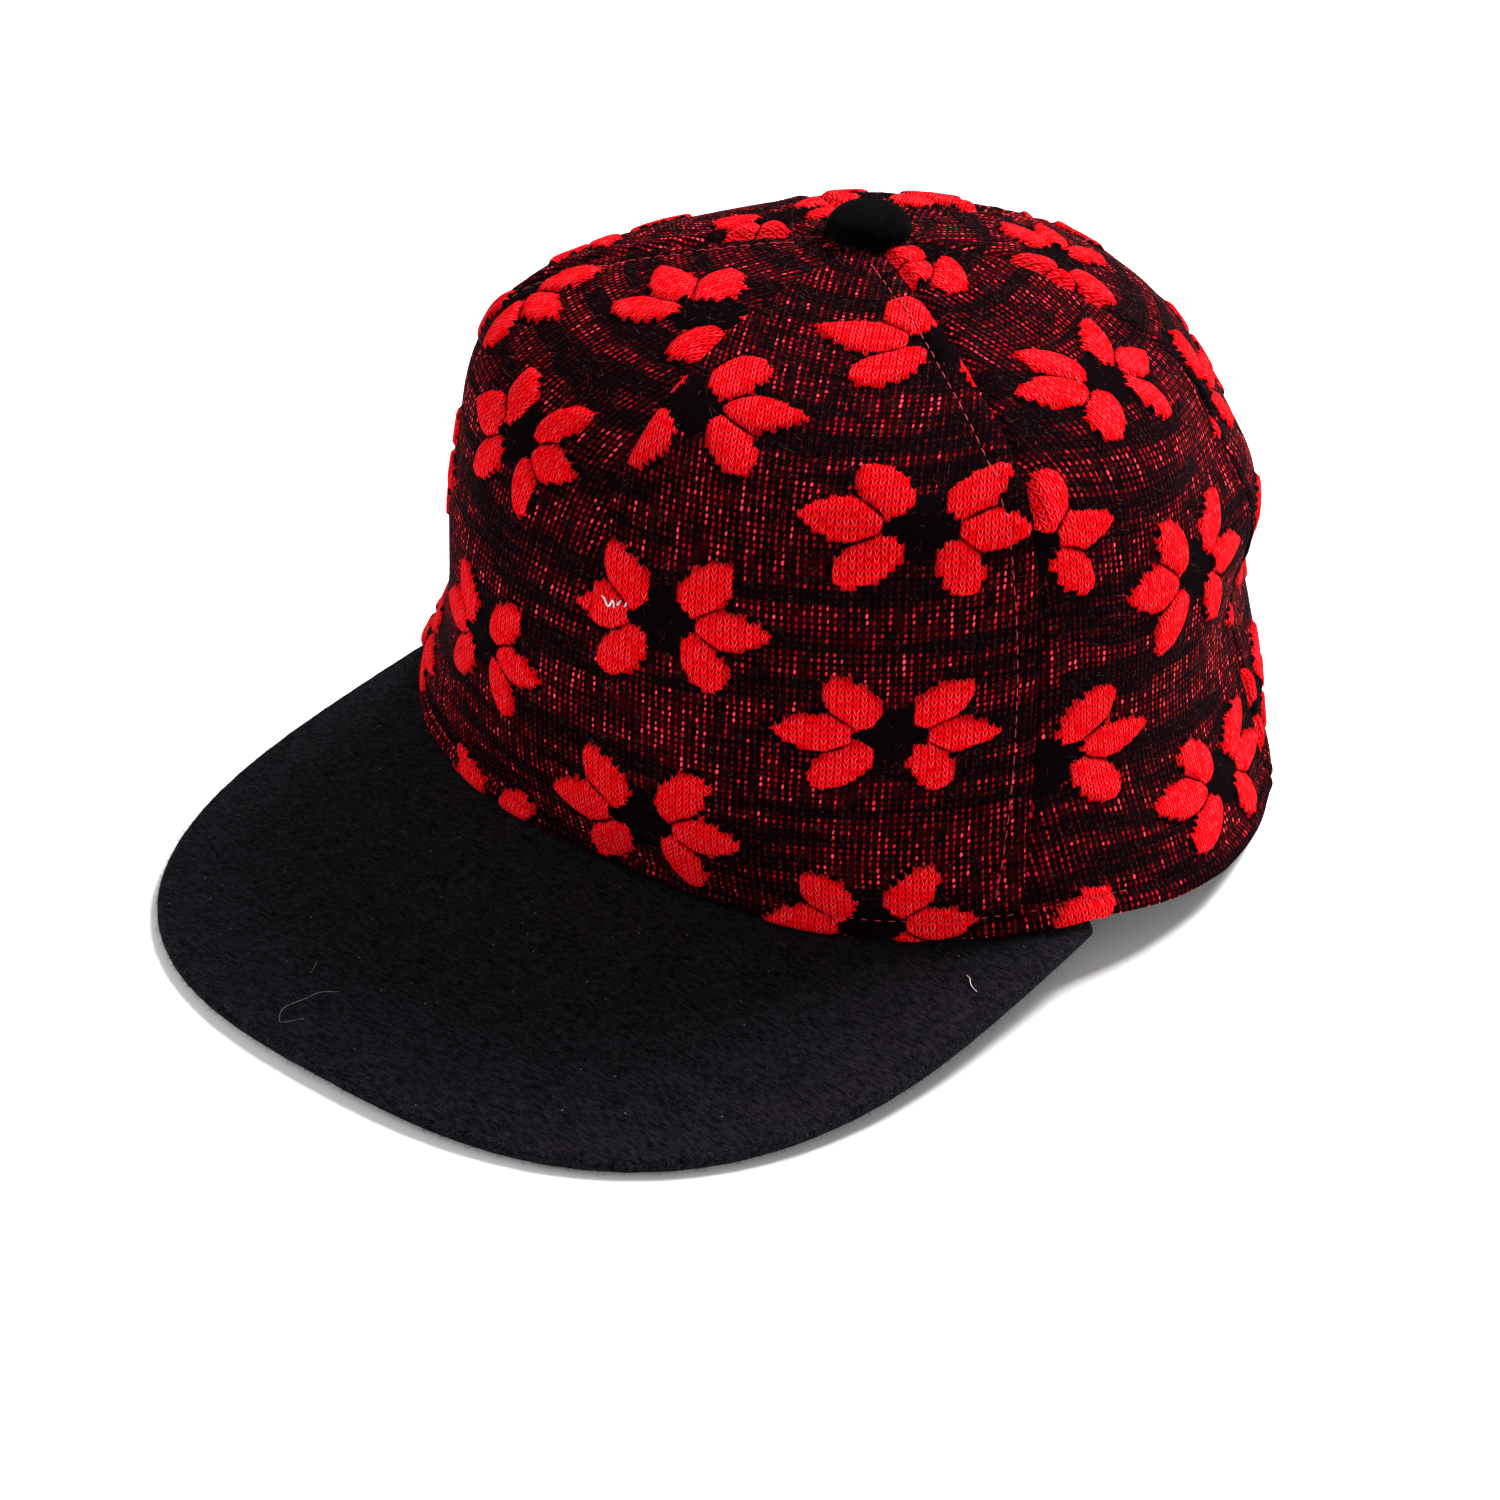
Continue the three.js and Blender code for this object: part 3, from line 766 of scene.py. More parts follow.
def signed(operation: str, swapped: bool = False) -> Callable:
    """Makes the method behind a sign.

    Args:
        operation: The Math node's operation.
        swapped: Whether the signal is the second of the two values.

    Returns:
        A method that takes the other value and returns the result as a signal.
    """
    def method(signal: "Signal", other: object) -> "Signal":
        """Adds the Math node for this signal and the other value."""
        values = (other, signal) if swapped else (signal, other)
        return signal.graph.math(operation, *values)
    return method


class Signal:
    """A value in a node tree, reckoned with by the usual signs."""

    __add__ = signed("ADD")
    __sub__ = signed("SUBTRACT")
    __rsub__ = signed("SUBTRACT", swapped=True)
    __mul__ = signed("MULTIPLY")
    __truediv__ = signed("DIVIDE")
    __pow__ = signed("POWER")
    __gt__ = signed("GREATER_THAN")
    __lt__ = signed("LESS_THAN")

    def __init__(self, graph: "Graph", socket: bpy.types.NodeSocket) -> None:
        """Keeps the socket that gives the value, and its graph."""
        self.graph = graph
        self.socket = socket

    def __abs__(self) -> "Signal":
        """Returns the value without its sign."""
        return self.graph.math("ABSOLUTE", self)

    def floor(self) -> "Signal":
        """Returns the whole part of the value."""
        return self.graph.math("FLOOR", self)

    def ramp(self, low: float, high: float) -> "Signal":
        """Eases the value from 0 at low to 1 at high."""
        values = {"Value": self, "From Min": low, "From Max": high}
        eased = {"interpolation_type": "SMOOTHSTEP"}
        return self.graph.add("ShaderNodeMapRange", values, **eased)


class Graph:
    """A node tree with short calls for the nodes that the finishes use."""

    def __init__(self, tree: bpy.types.NodeTree) -> None:
        """Keeps the tree that the calls add to."""
        self.tree = tree

    def node(self, kind: str, **settings: object) -> bpy.types.Node:
        """Adds a node and sets its properties."""
        made = self.tree.nodes.new(kind)
        for name, value in settings.items():
            setattr(made, name, value)
        return made

    def feed(self, sockets: bpy.types.bpy_prop_collection, values: dict | tuple) -> None:
        """Feeds sockets with signals, which are linked, or with constants.

        Args:
            sockets: A node's inputs.
            values: The values by socket name, or in the order of the sockets.
        """
        if isinstance(values, dict):
            pairs = [(sockets[name], value) for name, value in values.items()]
        else:
            pairs = zip(sockets, values)
        for socket, value in pairs:
            if isinstance(value, Signal):
                self.tree.links.new(value.socket, socket)
            else:
                socket.default_value = value

    def add(
        self, kind: str, values: dict | tuple = (), output: int | str = 0,
        **settings: object,
    ) -> Signal:
        """Adds a node, feeds it and returns one of its outputs."""
        made = self.node(kind, **settings)
        self.feed(made.inputs, values)
        return Signal(self, made.outputs[output])

    def named(self, sockets: bpy.types.bpy_prop_collection) -> dict[str, Signal]:
        """Returns a node's outputs as signals by name."""
        return {socket.name: Signal(self, socket) for socket in sockets}

    def math(self, operation: str, *values: object, clamp: bool = False) -> Signal:
        """Adds a Math node and returns its result."""
        return self.add("ShaderNodeMath", values, operation=operation, use_clamp=clamp)

    def vector(self, operation: str, *values: object) -> Signal:
        """Adds a Vector Math node and returns its result."""
        output = "Value" if operation == "DOT_PRODUCT" else "Vector"
        return self.add("ShaderNodeVectorMath", values, output, operation=operation)

    def mix(self, share: object, first: object, second: object) -> Signal:
        """Mixes two colours, which are the sixth and seventh inputs of a Mix node."""
        values = {0: share, 6: first, 7: second}
        return self.add("ShaderNodeMix", values, 2, data_type="RGBA")

    def split(self, vector: Signal) -> list[Signal]:
        """Returns the three parts of a vector."""
        made = self.node("ShaderNodeSeparateXYZ")
        self.feed(made.inputs, (vector,))
        return [Signal(self, socket) for socket in made.outputs]

    def join(self, x: object, y: object, z: object = 0.0) -> Signal:
        """Returns a vector of three parts."""
        return self.add("ShaderNodeCombineXYZ", (x, y, z))

    def noise(
        self, vector: Signal, scale: float, detail: float = 2.0, rough: float = 0.5,
        output: int | str = 0,
    ) -> Signal:
        """Adds a noise and returns its value, or its three unlike ones as "Color"."""
        values = {"Vector": vector, "Scale": scale, "Detail": detail, "Roughness": rough}
        return self.add("ShaderNodeTexNoise", values, output)

    def scatter(self, vector: Signal, output: str = "Value") -> Signal:
        """Returns a random value for each different vector, or three as "Color"."""
        values = {"Vector": vector}
        return self.add("ShaderNodeTexWhiteNoise", values, output, noise_dimensions="3D")

    def place(self) -> Signal:
        """Returns the piece's own coordinates, in metres."""
        return self.add("ShaderNodeTexCoord", output="Object")

    def flat(self, name: str) -> Signal:
        """Returns the places of a flat map."""
        return self.add("ShaderNodeUVMap", uv_map=name)

    def group(self, tree: bpy.types.NodeTree, **values: object) -> dict[str, Signal]:
        """Adds a node group, fed by input name, and returns its outputs by name."""
        made = self.node("ShaderNodeGroup", node_tree=tree)
        self.feed(made.inputs, values)
        return self.named(made.outputs)

    def bump(self, height: Signal, distance: float, strength: float) -> Signal:
        """Turns a height into a normal."""
        values = {"Height": height, "Distance": distance, "Strength": strength}
        return self.add("ShaderNodeBump", values)


class Kind(Enum):
    """The sorts of socket that the node groups have."""

    NUMBER = "NodeSocketFloat"
    PLACE = "NodeSocketVector"


class Effects:
    """Node groups that the finishes share, each made once."""

    fibre_scale = 2600.0
    hair_scale = 1500.0
    hair_stretch = (0.35, 1.0, 0.8)
    mottle_scale = 240.0
    speck_scale = 620.0
    speck_chance = (0.93, 1.0)
    speck_radius = 0.13

    @staticmethod
    def start(
        name: str, inputs: dict[str, Kind], outputs: dict[str, Kind]
    ) -> tuple[Graph, dict[str, Signal], bpy.types.bpy_prop_collection]:
        """Starts a node group.

        Args:
            name: Name of the group.
            inputs: Its inputs and their sorts.
            outputs: Its outputs and their sorts.

        Returns:
            The graph, the group's inputs and the group's outputs.
        """
        tree = bpy.data.node_groups.new(name, "ShaderNodeTree")
        for way, sockets in (("INPUT", inputs), ("OUTPUT", outputs)):
            for label, kind in sockets.items():
                tree.interface.new_socket(name=label, in_out=way, socket_type=kind.value)
        graph = Graph(tree)
        start = graph.named(graph.node("NodeGroupInput").outputs)
        return graph, start, graph.node("NodeGroupOutput").inputs

    @staticmethod
    @cache
    def stitch() -> bpy.types.NodeTree:
        """Finds a knit stitch: two arms that fall from the middle of each wale.

        The row of a place is the whole part of y less slant times its eased distance
        from the wale's middle, so the rows are rounded chevrons. The crest is a
        parabola across an arm, which falls off at the wale's edges and dips a little
        at its middle.

        Returns:
            The node group, with the stitch's own place and its crest, 0 to 1.
        """
        graph, start, end = Effects.start(
            "knit_stitch",
            {"Place": Kind.PLACE, "Slant": Kind.NUMBER},
            {"Stitch": Kind.PLACE, "Crest": Kind.NUMBER},
        )
        x, y, _ = graph.split(start["Place"])
        column = x.floor()
        side = abs(x - column - 0.5) * 2.0
        lower = y - (side.ramp(0.0, 1.0) * 0.7 + side * 0.3) * start["Slant"]
        row = lower.floor()
        across = (lower - row) * 2.0 - 1.0
        bow = (1.0 - across * across) * 0.8 + 0.2
        edge = (1.0 - side**3.0) * 0.8 + 0.2
        centre = side.ramp(0.0, 0.4) * 0.5 + 0.5
        half = start["Slant"] * 0.5 + 0.5
        stitch = graph.join(column + 0.5, row + half)
        graph.feed(end, {"Stitch": stitch, "Crest": bow * edge * centre})
        return graph.tree

    @staticmethod
    @cache
    def petal() -> bpy.types.NodeTree:
        """Measures how far inside one petal a place lies, as the pads' relief does.

        Returns:
            The node group, with the depth in mm, negative outside the petal.
        """
        inputs = dict.fromkeys(("Place", "Root", "Line", "Square"), Kind.PLACE)
        numbers = ("Length", "Root Power", "Tip Power", "Width")
        inputs |= dict.fromkeys(numbers, Kind.NUMBER)
        graph, start, end = Effects.start("petal", inputs, {"Depth": Kind.NUMBER})
        away = graph.vector("SUBTRACT", start["Place"], start["Root"])
        along = graph.vector("DOT_PRODUCT", away, start["Line"])
        share = graph.math("DIVIDE", along, start["Length"], clamp=True)
        tip = (1.0 - share) ** start["Tip Power"]
        width = share ** start["Root Power"] * tip * start["Width"]
        beyond = abs(along - share * start["Length"])
        side = abs(graph.vector("DOT_PRODUCT", away, start["Square"]))
        graph.feed(end, {"Depth": width - (side + beyond)})
        return graph.tree

    @staticmethod
    @cache
    def flower() -> bpy.types.NodeTree:
        """Charts the six petals and the heart of a flower, from places in mm.

        Returns:
            The node group, with the depth in the best petal, how much deeper that is
            than in the next one, and the heart's share.
        """
        numbers = dict.fromkeys(("Petals", "Parting", "Heart"), Kind.NUMBER)
        graph, start, end = Effects.start("flower", {"Place": Kind.PLACE}, numbers)
        best = second = FAR_OUTSIDE
        for root, line, length, root_power, tip_power, width in petal_shapes():
            values = {
                "Place": start["Place"],
                "Root": (*root, 0.0),
                "Line": (*line, 0.0),
                "Square": (-line[1], line[0], 0.0),
                "Length": length,
                "Root Power": root_power,
                "Tip Power": tip_power,
                "Width": width,
            }
            depth = graph.group(Effects.petal(), **values)["Depth"]
            second = graph.math("MAXIMUM", second, graph.math("MINIMUM", best, depth))
            best = graph.math("MAXIMUM", best, depth)
        x, y, _ = graph.split(start["Place"])
        wide, tall = abs(x / HEART_ACROSS), abs(y / HEART_UP)
        heart = 1.0 - (wide**HEART_POWER + tall**HEART_POWER)
        graph.feed(end, {"Petals": best, "Parting": best - second, "Heart": heart})
        return graph.tree

    @staticmethod
    @cache
    def fibres() -> bpy.types.NodeTree:
        """Mottles a cloth with fibres: fine noise, coarse noise and rare pale specks.

        Returns:
            The node group, with the grain, the mottle and the specks, all 0 to 1.
        """
        numbers = dict.fromkeys(("Grain", "Mottle", "Specks"), Kind.NUMBER)
        graph, start, end = Effects.start("fibres", {"Place": Kind.PLACE}, numbers)
        place = start["Place"]
        fine = graph.noise(place, Effects.fibre_scale, 3.0, 0.7)
        stretched = graph.vector("MULTIPLY", place, Effects.hair_stretch)
        hairs = graph.noise(stretched, Effects.hair_scale, 2.0, 0.6)
        dots = graph.node("ShaderNodeTexVoronoi")
        graph.feed(dots.inputs, {"Vector": place, "Scale": Effects.speck_scale})
        dot = graph.named(dots.outputs)
        chosen = graph.split(dot["Color"])[0].ramp(*Effects.speck_chance)
        graph.feed(end, {
            "Grain": (fine + hairs) * 0.5,
            "Mottle": graph.noise(place, Effects.mottle_scale, 3.0, 0.6),
            "Specks": chosen * (dot["Distance"] < Effects.speck_radius),
        })
        return graph.tree


def new_material(name: str) -> tuple[bpy.types.Material, Graph, bpy.types.Node]:
    """Starts a material.

    Args:
        name: Name of the finish.

    Returns:
        The material, its graph and its shader node.
    """
    made = bpy.data.materials.new(name)
    made.use_nodes = True
    return made, Graph(made.node_tree), made.node_tree.nodes["Principled BSDF"]


@dataclass(frozen=True)
class KnitFinish:
    """Black and red jacquard knit with raised red petals."""

    knit: Knit
    petal: tuple = (0.98, 0.0008, 0.004, 1.0)
    # Painted highlight on the crest of each stitch's arms
    petal_highlight: tuple = (1.0, 0.085, 0.115, 1.0)
    # Painted shade in the gaps between stitch arms and toward the petals' edges
    petal_shade: tuple = (0.2, 0.0, 0.0005, 1.0)
    # Painted shade in the crease where two petals part
    crease: tuple = (0.045, 0.0006, 0.001, 1.0)
    crease_ragged: float = 0.7
    black: tuple = (0.0026, 0.0009, 0.0014, 1.0)
    haze: tuple = (0.018, 0.0008, 0.0018, 1.0)
    dash: tuple = (0.8, 0.008, 0.02, 1.0)
    # Painted highlight in the middle of each red dash
    dash_highlight: tuple = (1.0, 0.06, 0.085, 1.0)
    dash_strength: float = 2.3
    dash_half_width: float = 0.13
    dash_half_height: float = 0.3
    dash_shift: float = 0.14
    dash_tilt: float = 0.08
    dash_luck: float = 0.92
    streak_run: float = 0.13
    band_run: tuple = (0.028, 0.22)
    # Painted glints of light on the black stitches
    painted_glint: tuple = (0.035, 0.042, 0.038, 1.0)
    glint_share: float = 0.6
    uneven: float = 0.5
    uneven_scale: float = 0.7
    relief: float = 0.0004
    roughness: float = 0.85
    gloss: float = 0.004
    # What each ramp eases between: the petal's painted shade and painted highlight first,
    # then the ground's tones, its painted shadow, painted highlights and painted glints
    strand_shade_ramp: tuple = (0.05, 0.7)
    highlight_ramp: tuple = (0.5, 1.0)
    edge_shade_ramp: tuple = (0.0, 1.2)
    crease_shade_ramp: tuple = (0.5, 1.15)
    # Painted shadow of the raised petals on the ground just outside them
    petal_shadow_ramp: tuple = (-1.3, -0.3)
    streak_ramp: tuple = (0.32, 0.72)
    band_ramp: tuple = (0.43, 0.54)
    dash_edge_ramp: tuple = (0.25, 1.5)
    dash_highlight_ramp: tuple = (0.2, 0.6)
    haze_ramp: tuple = (0.35, 0.7)
    glint_ramp: tuple = (0.58, 0.68)

    def material(self) -> bpy.types.Material:
        """Makes the knit: petals by the stitch, and red dashes on a black ground.

        The outline of the petals steps by whole stitches. Their painted highlight and
        painted shade follow each stitch's crest and its luck, with more painted shade
        toward the petals' edges, in the creases between them and on the ground
        just outside them.

        Returns:
            The material, which reads the maps "cloth" and "flower".
        """
        made, graph, shader = new_material("flower_knit")
        knit = self.knit
        even = graph.flat("cloth")
        sway = graph.noise(even, self.uneven_scale, output="Color")
        sway = graph.vector("SUBTRACT", sway, (0.5, 0.5, 0.5))
        sway = graph.vector("MULTIPLY", sway, (self.uneven, self.uneven, 0.0))
        cloth = graph.vector("ADD", even, sway)
        stitch = graph.group(Effects.stitch(), Place=cloth, Slant=knit.slant)
        crest, luck = stitch["Crest"], graph.scatter(stitch["Stitch"])
        edging = graph.group(Effects.stitch(), Place=cloth, Slant=knit.edge_slant)
        edge_luck = graph.scatter(edging["Stitch"])
        to_stitch = graph.vector("SUBTRACT", edging["Stitch"], cloth)
        step = (knit.stepping * knit.wale, knit.stepping * knit.course, 0.0)
        to_stitch = graph.vector("MULTIPLY", to_stitch, step)
        smooth = graph.flat("flower")
        fine = graph.group(Effects.flower(), Place=smooth)
        moved = graph.vector("ADD", smooth, to_stitch)
        stepped = graph.group(Effects.flower(), Place=moved)
        is_petal = stepped["Petals"] + (edge_luck * 2.0 - 1.0) * knit.ragged > 0.0
        fibres = graph.group(Effects.fibres(), Place=graph.place())

        inner = graph.math("MINIMUM", fine["Parting"] * 0.7, fine["Petals"])
        # Painted shade: each petal darkens toward its edges and partings, as a pad in its
        # own shade
        edge_shade = inner.ramp(*self.edge_shade_ramp) * 0.6 + 0.4
        # Painted shade in the gaps between the stitch arms
        lit = crest.ramp(*self.strand_shade_ramp) * edge_shade
        shaded_strand = graph.mix(lit, self.petal_shade, self.petal)
        # Painted highlight on each stitch's crest, weaker toward the petal's edges
        stitch_highlight = crest.ramp(*self.highlight_ramp) * (luck * 0.75 + 0.05) * edge_shade
        petals = graph.mix(stitch_highlight, shaded_strand, self.petal_highlight)
        # Painted shade along the crease between two petals
        parting = edge_luck * self.crease_ragged + fine["Parting"]
        petals = graph.mix(parting.ramp(*self.crease_shade_ramp), self.crease, petals)
        ground, dashes = self.ground(graph, even, fibres)
        # Painted shadow: the ground turns black just outside the raised petals; the
        # heart's black is the yarn's own
        beside = stepped["Petals"].ramp(*self.petal_shadow_ramp)
        heart_and_shadow = graph.math("MAXIMUM", stepped["Heart"] > 0.0, beside)
        ground = graph.mix(heart_and_shadow, ground, self.black)
        low = graph.math("MAXIMUM", crest * 0.45, dashes * 0.8)
        height = fibres["Grain"] * 0.25 + (is_petal * (crest - low) + low)
        graph.feed(shader.inputs, {
            "Base Color": graph.mix(is_petal, ground, petals),
            "Normal": graph.bump(height, self.relief, 1.0),
            "Roughness": self.roughness,
            "Specular IOR Level": self.gloss,
        })
        return made

    def ground(
        self, graph: Graph, cloth: Signal, fibres: dict[str, Signal]
    ) -> tuple[Signal, Signal]:
        """Makes the ground: dashes of red on the wales, broken by dark level bands.

        A dash is a small tilted ellipse in each stitch, shifted and widened by
        chance. Its strength is the product of a random value of its stitch, a noise
        drawn out along the wale and a noise drawn out along the course. Its middle is
        lightened to a painted highlight, and painted glints lie on the black between.

        Args:
            graph: The material's graph.
            cloth: Places on the cloth, in wales and courses.
            fibres: The outputs of the fibres' group.

        Returns:
            The ground's colour and the dashes' height.
        """
        x, y, _ = graph.split(cloth)
        column, row = x.floor(), y.floor()
        streak = graph.noise(graph.join(column, y * self.streak_run), 0.83, 1.0)
        band_place = graph.join(x * self.band_run[0], y * self.band_run[1])
        band = graph.noise(band_place, 1.0, 2.0, 0.6).ramp(*self.band_ramp)
        chance = graph.scatter(graph.join(column, row, 7.0), "Color")
        luck, shift, size = graph.split(chance)
        strength = streak.ramp(*self.streak_ramp) * band * 0.97 + 0.03
        strength = strength * (luck**2.0 * self.dash_luck + (1.0 - self.dash_luck))
        above = y - row - 0.5
        aside = x - column - 0.5 + (shift - 0.5) * self.dash_shift
        aside = aside - above * self.dash_tilt
        wide = aside / (size * 0.1 + self.dash_half_width)
        tall = above / (shift * 0.14 + self.dash_half_height)
        outside = (wide * wide + tall * tall).ramp(*self.dash_edge_ramp)
        dashes = (1.0 - outside) * strength
        hazy = fibres["Mottle"].ramp(*self.haze_ramp) * band
        # Painted glints of light scattered over the black knit
        glinting = fibres["Grain"].ramp(*self.glint_ramp) * self.glint_share
        base = graph.mix(hazy, self.black, self.haze)
        base = graph.mix(glinting, base, self.painted_glint)
        # Painted highlight in the middle of each dash
        lit = graph.mix(dashes.ramp(*self.dash_highlight_ramp), self.dash, self.dash_highlight)
        dashes = graph.math("MULTIPLY", dashes, self.dash_strength, clamp=True)
        return graph.mix(dashes, base, lit), dashes


@dataclass(frozen=True)
class FeltFinish:
    """Black brushed felt with pale specks of lint."""

    name: str = "black_felt"
    dark: tuple = (0.0012, 0.0009, 0.0014, 1.0)
    light: tuple = (0.0155, 0.0132, 0.0175, 1.0)
    speck: tuple = (0.08, 0.08, 0.09, 1.0)
    tone_ramp: tuple = (0.36, 0.7)
    rise: float = 0.0003
    roughness: float = 0.95
    gloss: float = 0.01
    nap: float = 0.004

    def material(self) -> bpy.types.Material:
        """Makes the felt: mottled fibres, specks and a soft nap.

        Returns:
            The material, which reads the piece's own coordinates.
        """
        made, graph, shader = new_material(self.name)
        fibres = graph.group(Effects.fibres(), Place=graph.place())
        grain, mottle = fibres["Grain"], fibres["Mottle"]
        tone = mottle * 0.12 + grain * 0.9
        felt = graph.mix(tone.ramp(*self.tone_ramp), self.dark, self.light)
        graph.feed(shader.inputs, {
            "Base Color": graph.mix(fibres["Specks"], felt, self.speck),
            "Normal": graph.bump(mottle * 0.2 + grain, self.rise, 0.8),
            "Roughness": self.roughness,
            "Specular IOR Level": self.gloss,
            "Sheen Weight": self.nap,
            "Sheen Roughness": 0.5,
        })
        return made


@dataclass(frozen=True)
class WovenFinish:
    """Plain woven tape or lining cloth, ribbed on the slant as twill is."""

    name: str
    dark: tuple
    light: tuple
    pitch: float = 0.0009
    slant: tuple = (0.6, 0.5, 0.62)
    tone_ramp: tuple = (0.2, 0.9)
    relief: float = 0.0002
    roughness: float = 0.9
    gloss: float = 0.12

    def material(self) -> bpy.types.Material:
        """Makes the twill: slanted ribs with fibres.

        Returns:
            The material, which reads the piece's own coordinates.
        """
        made, graph, shader = new_material(self.name)
        place = graph.place()
        fibres = graph.group(Effects.fibres(), Place=place)
        slant = graph.vector("DOT_PRODUCT", place, self.slant)
        rib = graph.math("SINE", slant * (2.0 * math.pi / self.pitch)) * 0.5 + 0.5
        tone = fibres["Grain"] * 0.6 + rib * 0.5
        graph.feed(shader.inputs, {
            "Base Color": graph.mix(tone.ramp(*self.tone_ramp), self.dark, self.light),
            "Normal": graph.bump(tone, self.relief, 0.7),
            "Roughness": self.roughness,
            "Specular IOR Level": self.gloss,
        })
        return made


@dataclass(frozen=True)
class StrapFinish:
    """Matte moulded plastic."""

    colour: tuple = (0.006, 0.006, 0.007, 1.0)
    worn: tuple = (0.014, 0.014, 0.015, 1.0)
    wear_ramp: tuple = (0.4, 0.75)
    wear_scale: float = 90.0
    grain_scale: float = 3200.0
    grain_depth: float = 0.00006
    roughness: float = 0.5
    gloss: float = 0.2

    def material(self) -> bpy.types.Material:
        """Makes the plastic: a fine spark-eroded grain with duller wear.

        Returns:
            The material, which reads the piece's own coordinates.
        """
        made, graph, shader = new_material("matte_strap")
        grain = graph.noise(graph.place(), self.grain_scale, 2.0, 0.6)
        wear = graph.noise(graph.place(), self.wear_scale, 4.0, 0.6)
        graph.feed(shader.inputs, {
            "Base Color": graph.mix(wear.ramp(*self.wear_ramp), self.colour, self.worn),
            "Roughness": wear * 0.2 + self.roughness,
            "Normal": graph.bump(grain, self.grain_depth, 0.5),
            "Specular IOR Level": self.gloss,
        })
        return made


@dataclass(frozen=True)
class ThreadFinish:
    """Twisted sewing thread or a loose fibre."""

    name: str
    colour: tuple
    dark: tuple
    grain_scale: float = 4200.0
    grain_ramp: tuple = (0.3, 0.65)
    relief: float = 0.0001
    roughness: float = 0.6
    gloss: float = 0.3

    def material(self) -> bpy.types.Material:
        """Makes the thread: a fine mottle along the fibres.

        Returns:
            The material, which reads the piece's own coordinates.
        """
        made, graph, shader = new_material(self.name)
        grain = graph.noise(graph.place(), self.grain_scale, 2.0, 0.6)
        graph.feed(shader.inputs, {
            "Base Color": graph.mix(grain.ramp(*self.grain_ramp), self.dark, self.colour),
            "Normal": graph.bump(grain, self.relief, 0.6),
            "Roughness": self.roughness,
            "Specular IOR Level": self.gloss,
        })
        return made


@dataclass(frozen=True)
class FloorFinish:
    """Pale seamless paper."""

    colour: tuple = (0.93, 0.93, 0.93, 1.0)
    shade: tuple = (0.9, 0.9, 0.9, 1.0)
    cloud_scale: float = 3.0
    roughness: float = 0.9
    gloss: float = 0.1

    def material(self) -> bpy.types.Material:
        """Makes the paper, a little uneven.

        Returns:
            The material, which reads the floor's own coordinates.
        """
        made, graph, shader = new_material("pale_paper")
        cloud = graph.noise(graph.place(), self.cloud_scale)
        graph.feed(shader.inputs, {
            "Base Color": graph.mix(cloud, self.colour, self.shade),
            "Roughness": self.roughness,
            "Specular IOR Level": self.gloss,
        })
        return made


@dataclass
class Workshop:
    """What every sub-assembly works with: the form, the axis and the finishes."""

    form: CapForm
    knit: Knit
    axis: np.ndarray
    finishes: dict[str, bpy.types.Material]

    def finish_piece(
        self,
        piece: bpy.types.Object,
        finishes: list[str],
        slot: str | None,
        replaced: str | None = None,
    ) -> bpy.types.Object:
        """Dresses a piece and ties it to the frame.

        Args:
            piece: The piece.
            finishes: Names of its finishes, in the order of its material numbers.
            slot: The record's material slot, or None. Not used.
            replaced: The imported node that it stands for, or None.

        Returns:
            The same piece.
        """
        for name in finishes:
            piece.data.materials.append(self.finishes[name])
        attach(piece, "root")
        if replaced is not None:
            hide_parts(replaced)
        faces = sum(len(polygon.vertices) - 2 for polygon in piece.data.polygons)
        LOG.info("%s: %d triangles", piece.name, faces)
        return piece


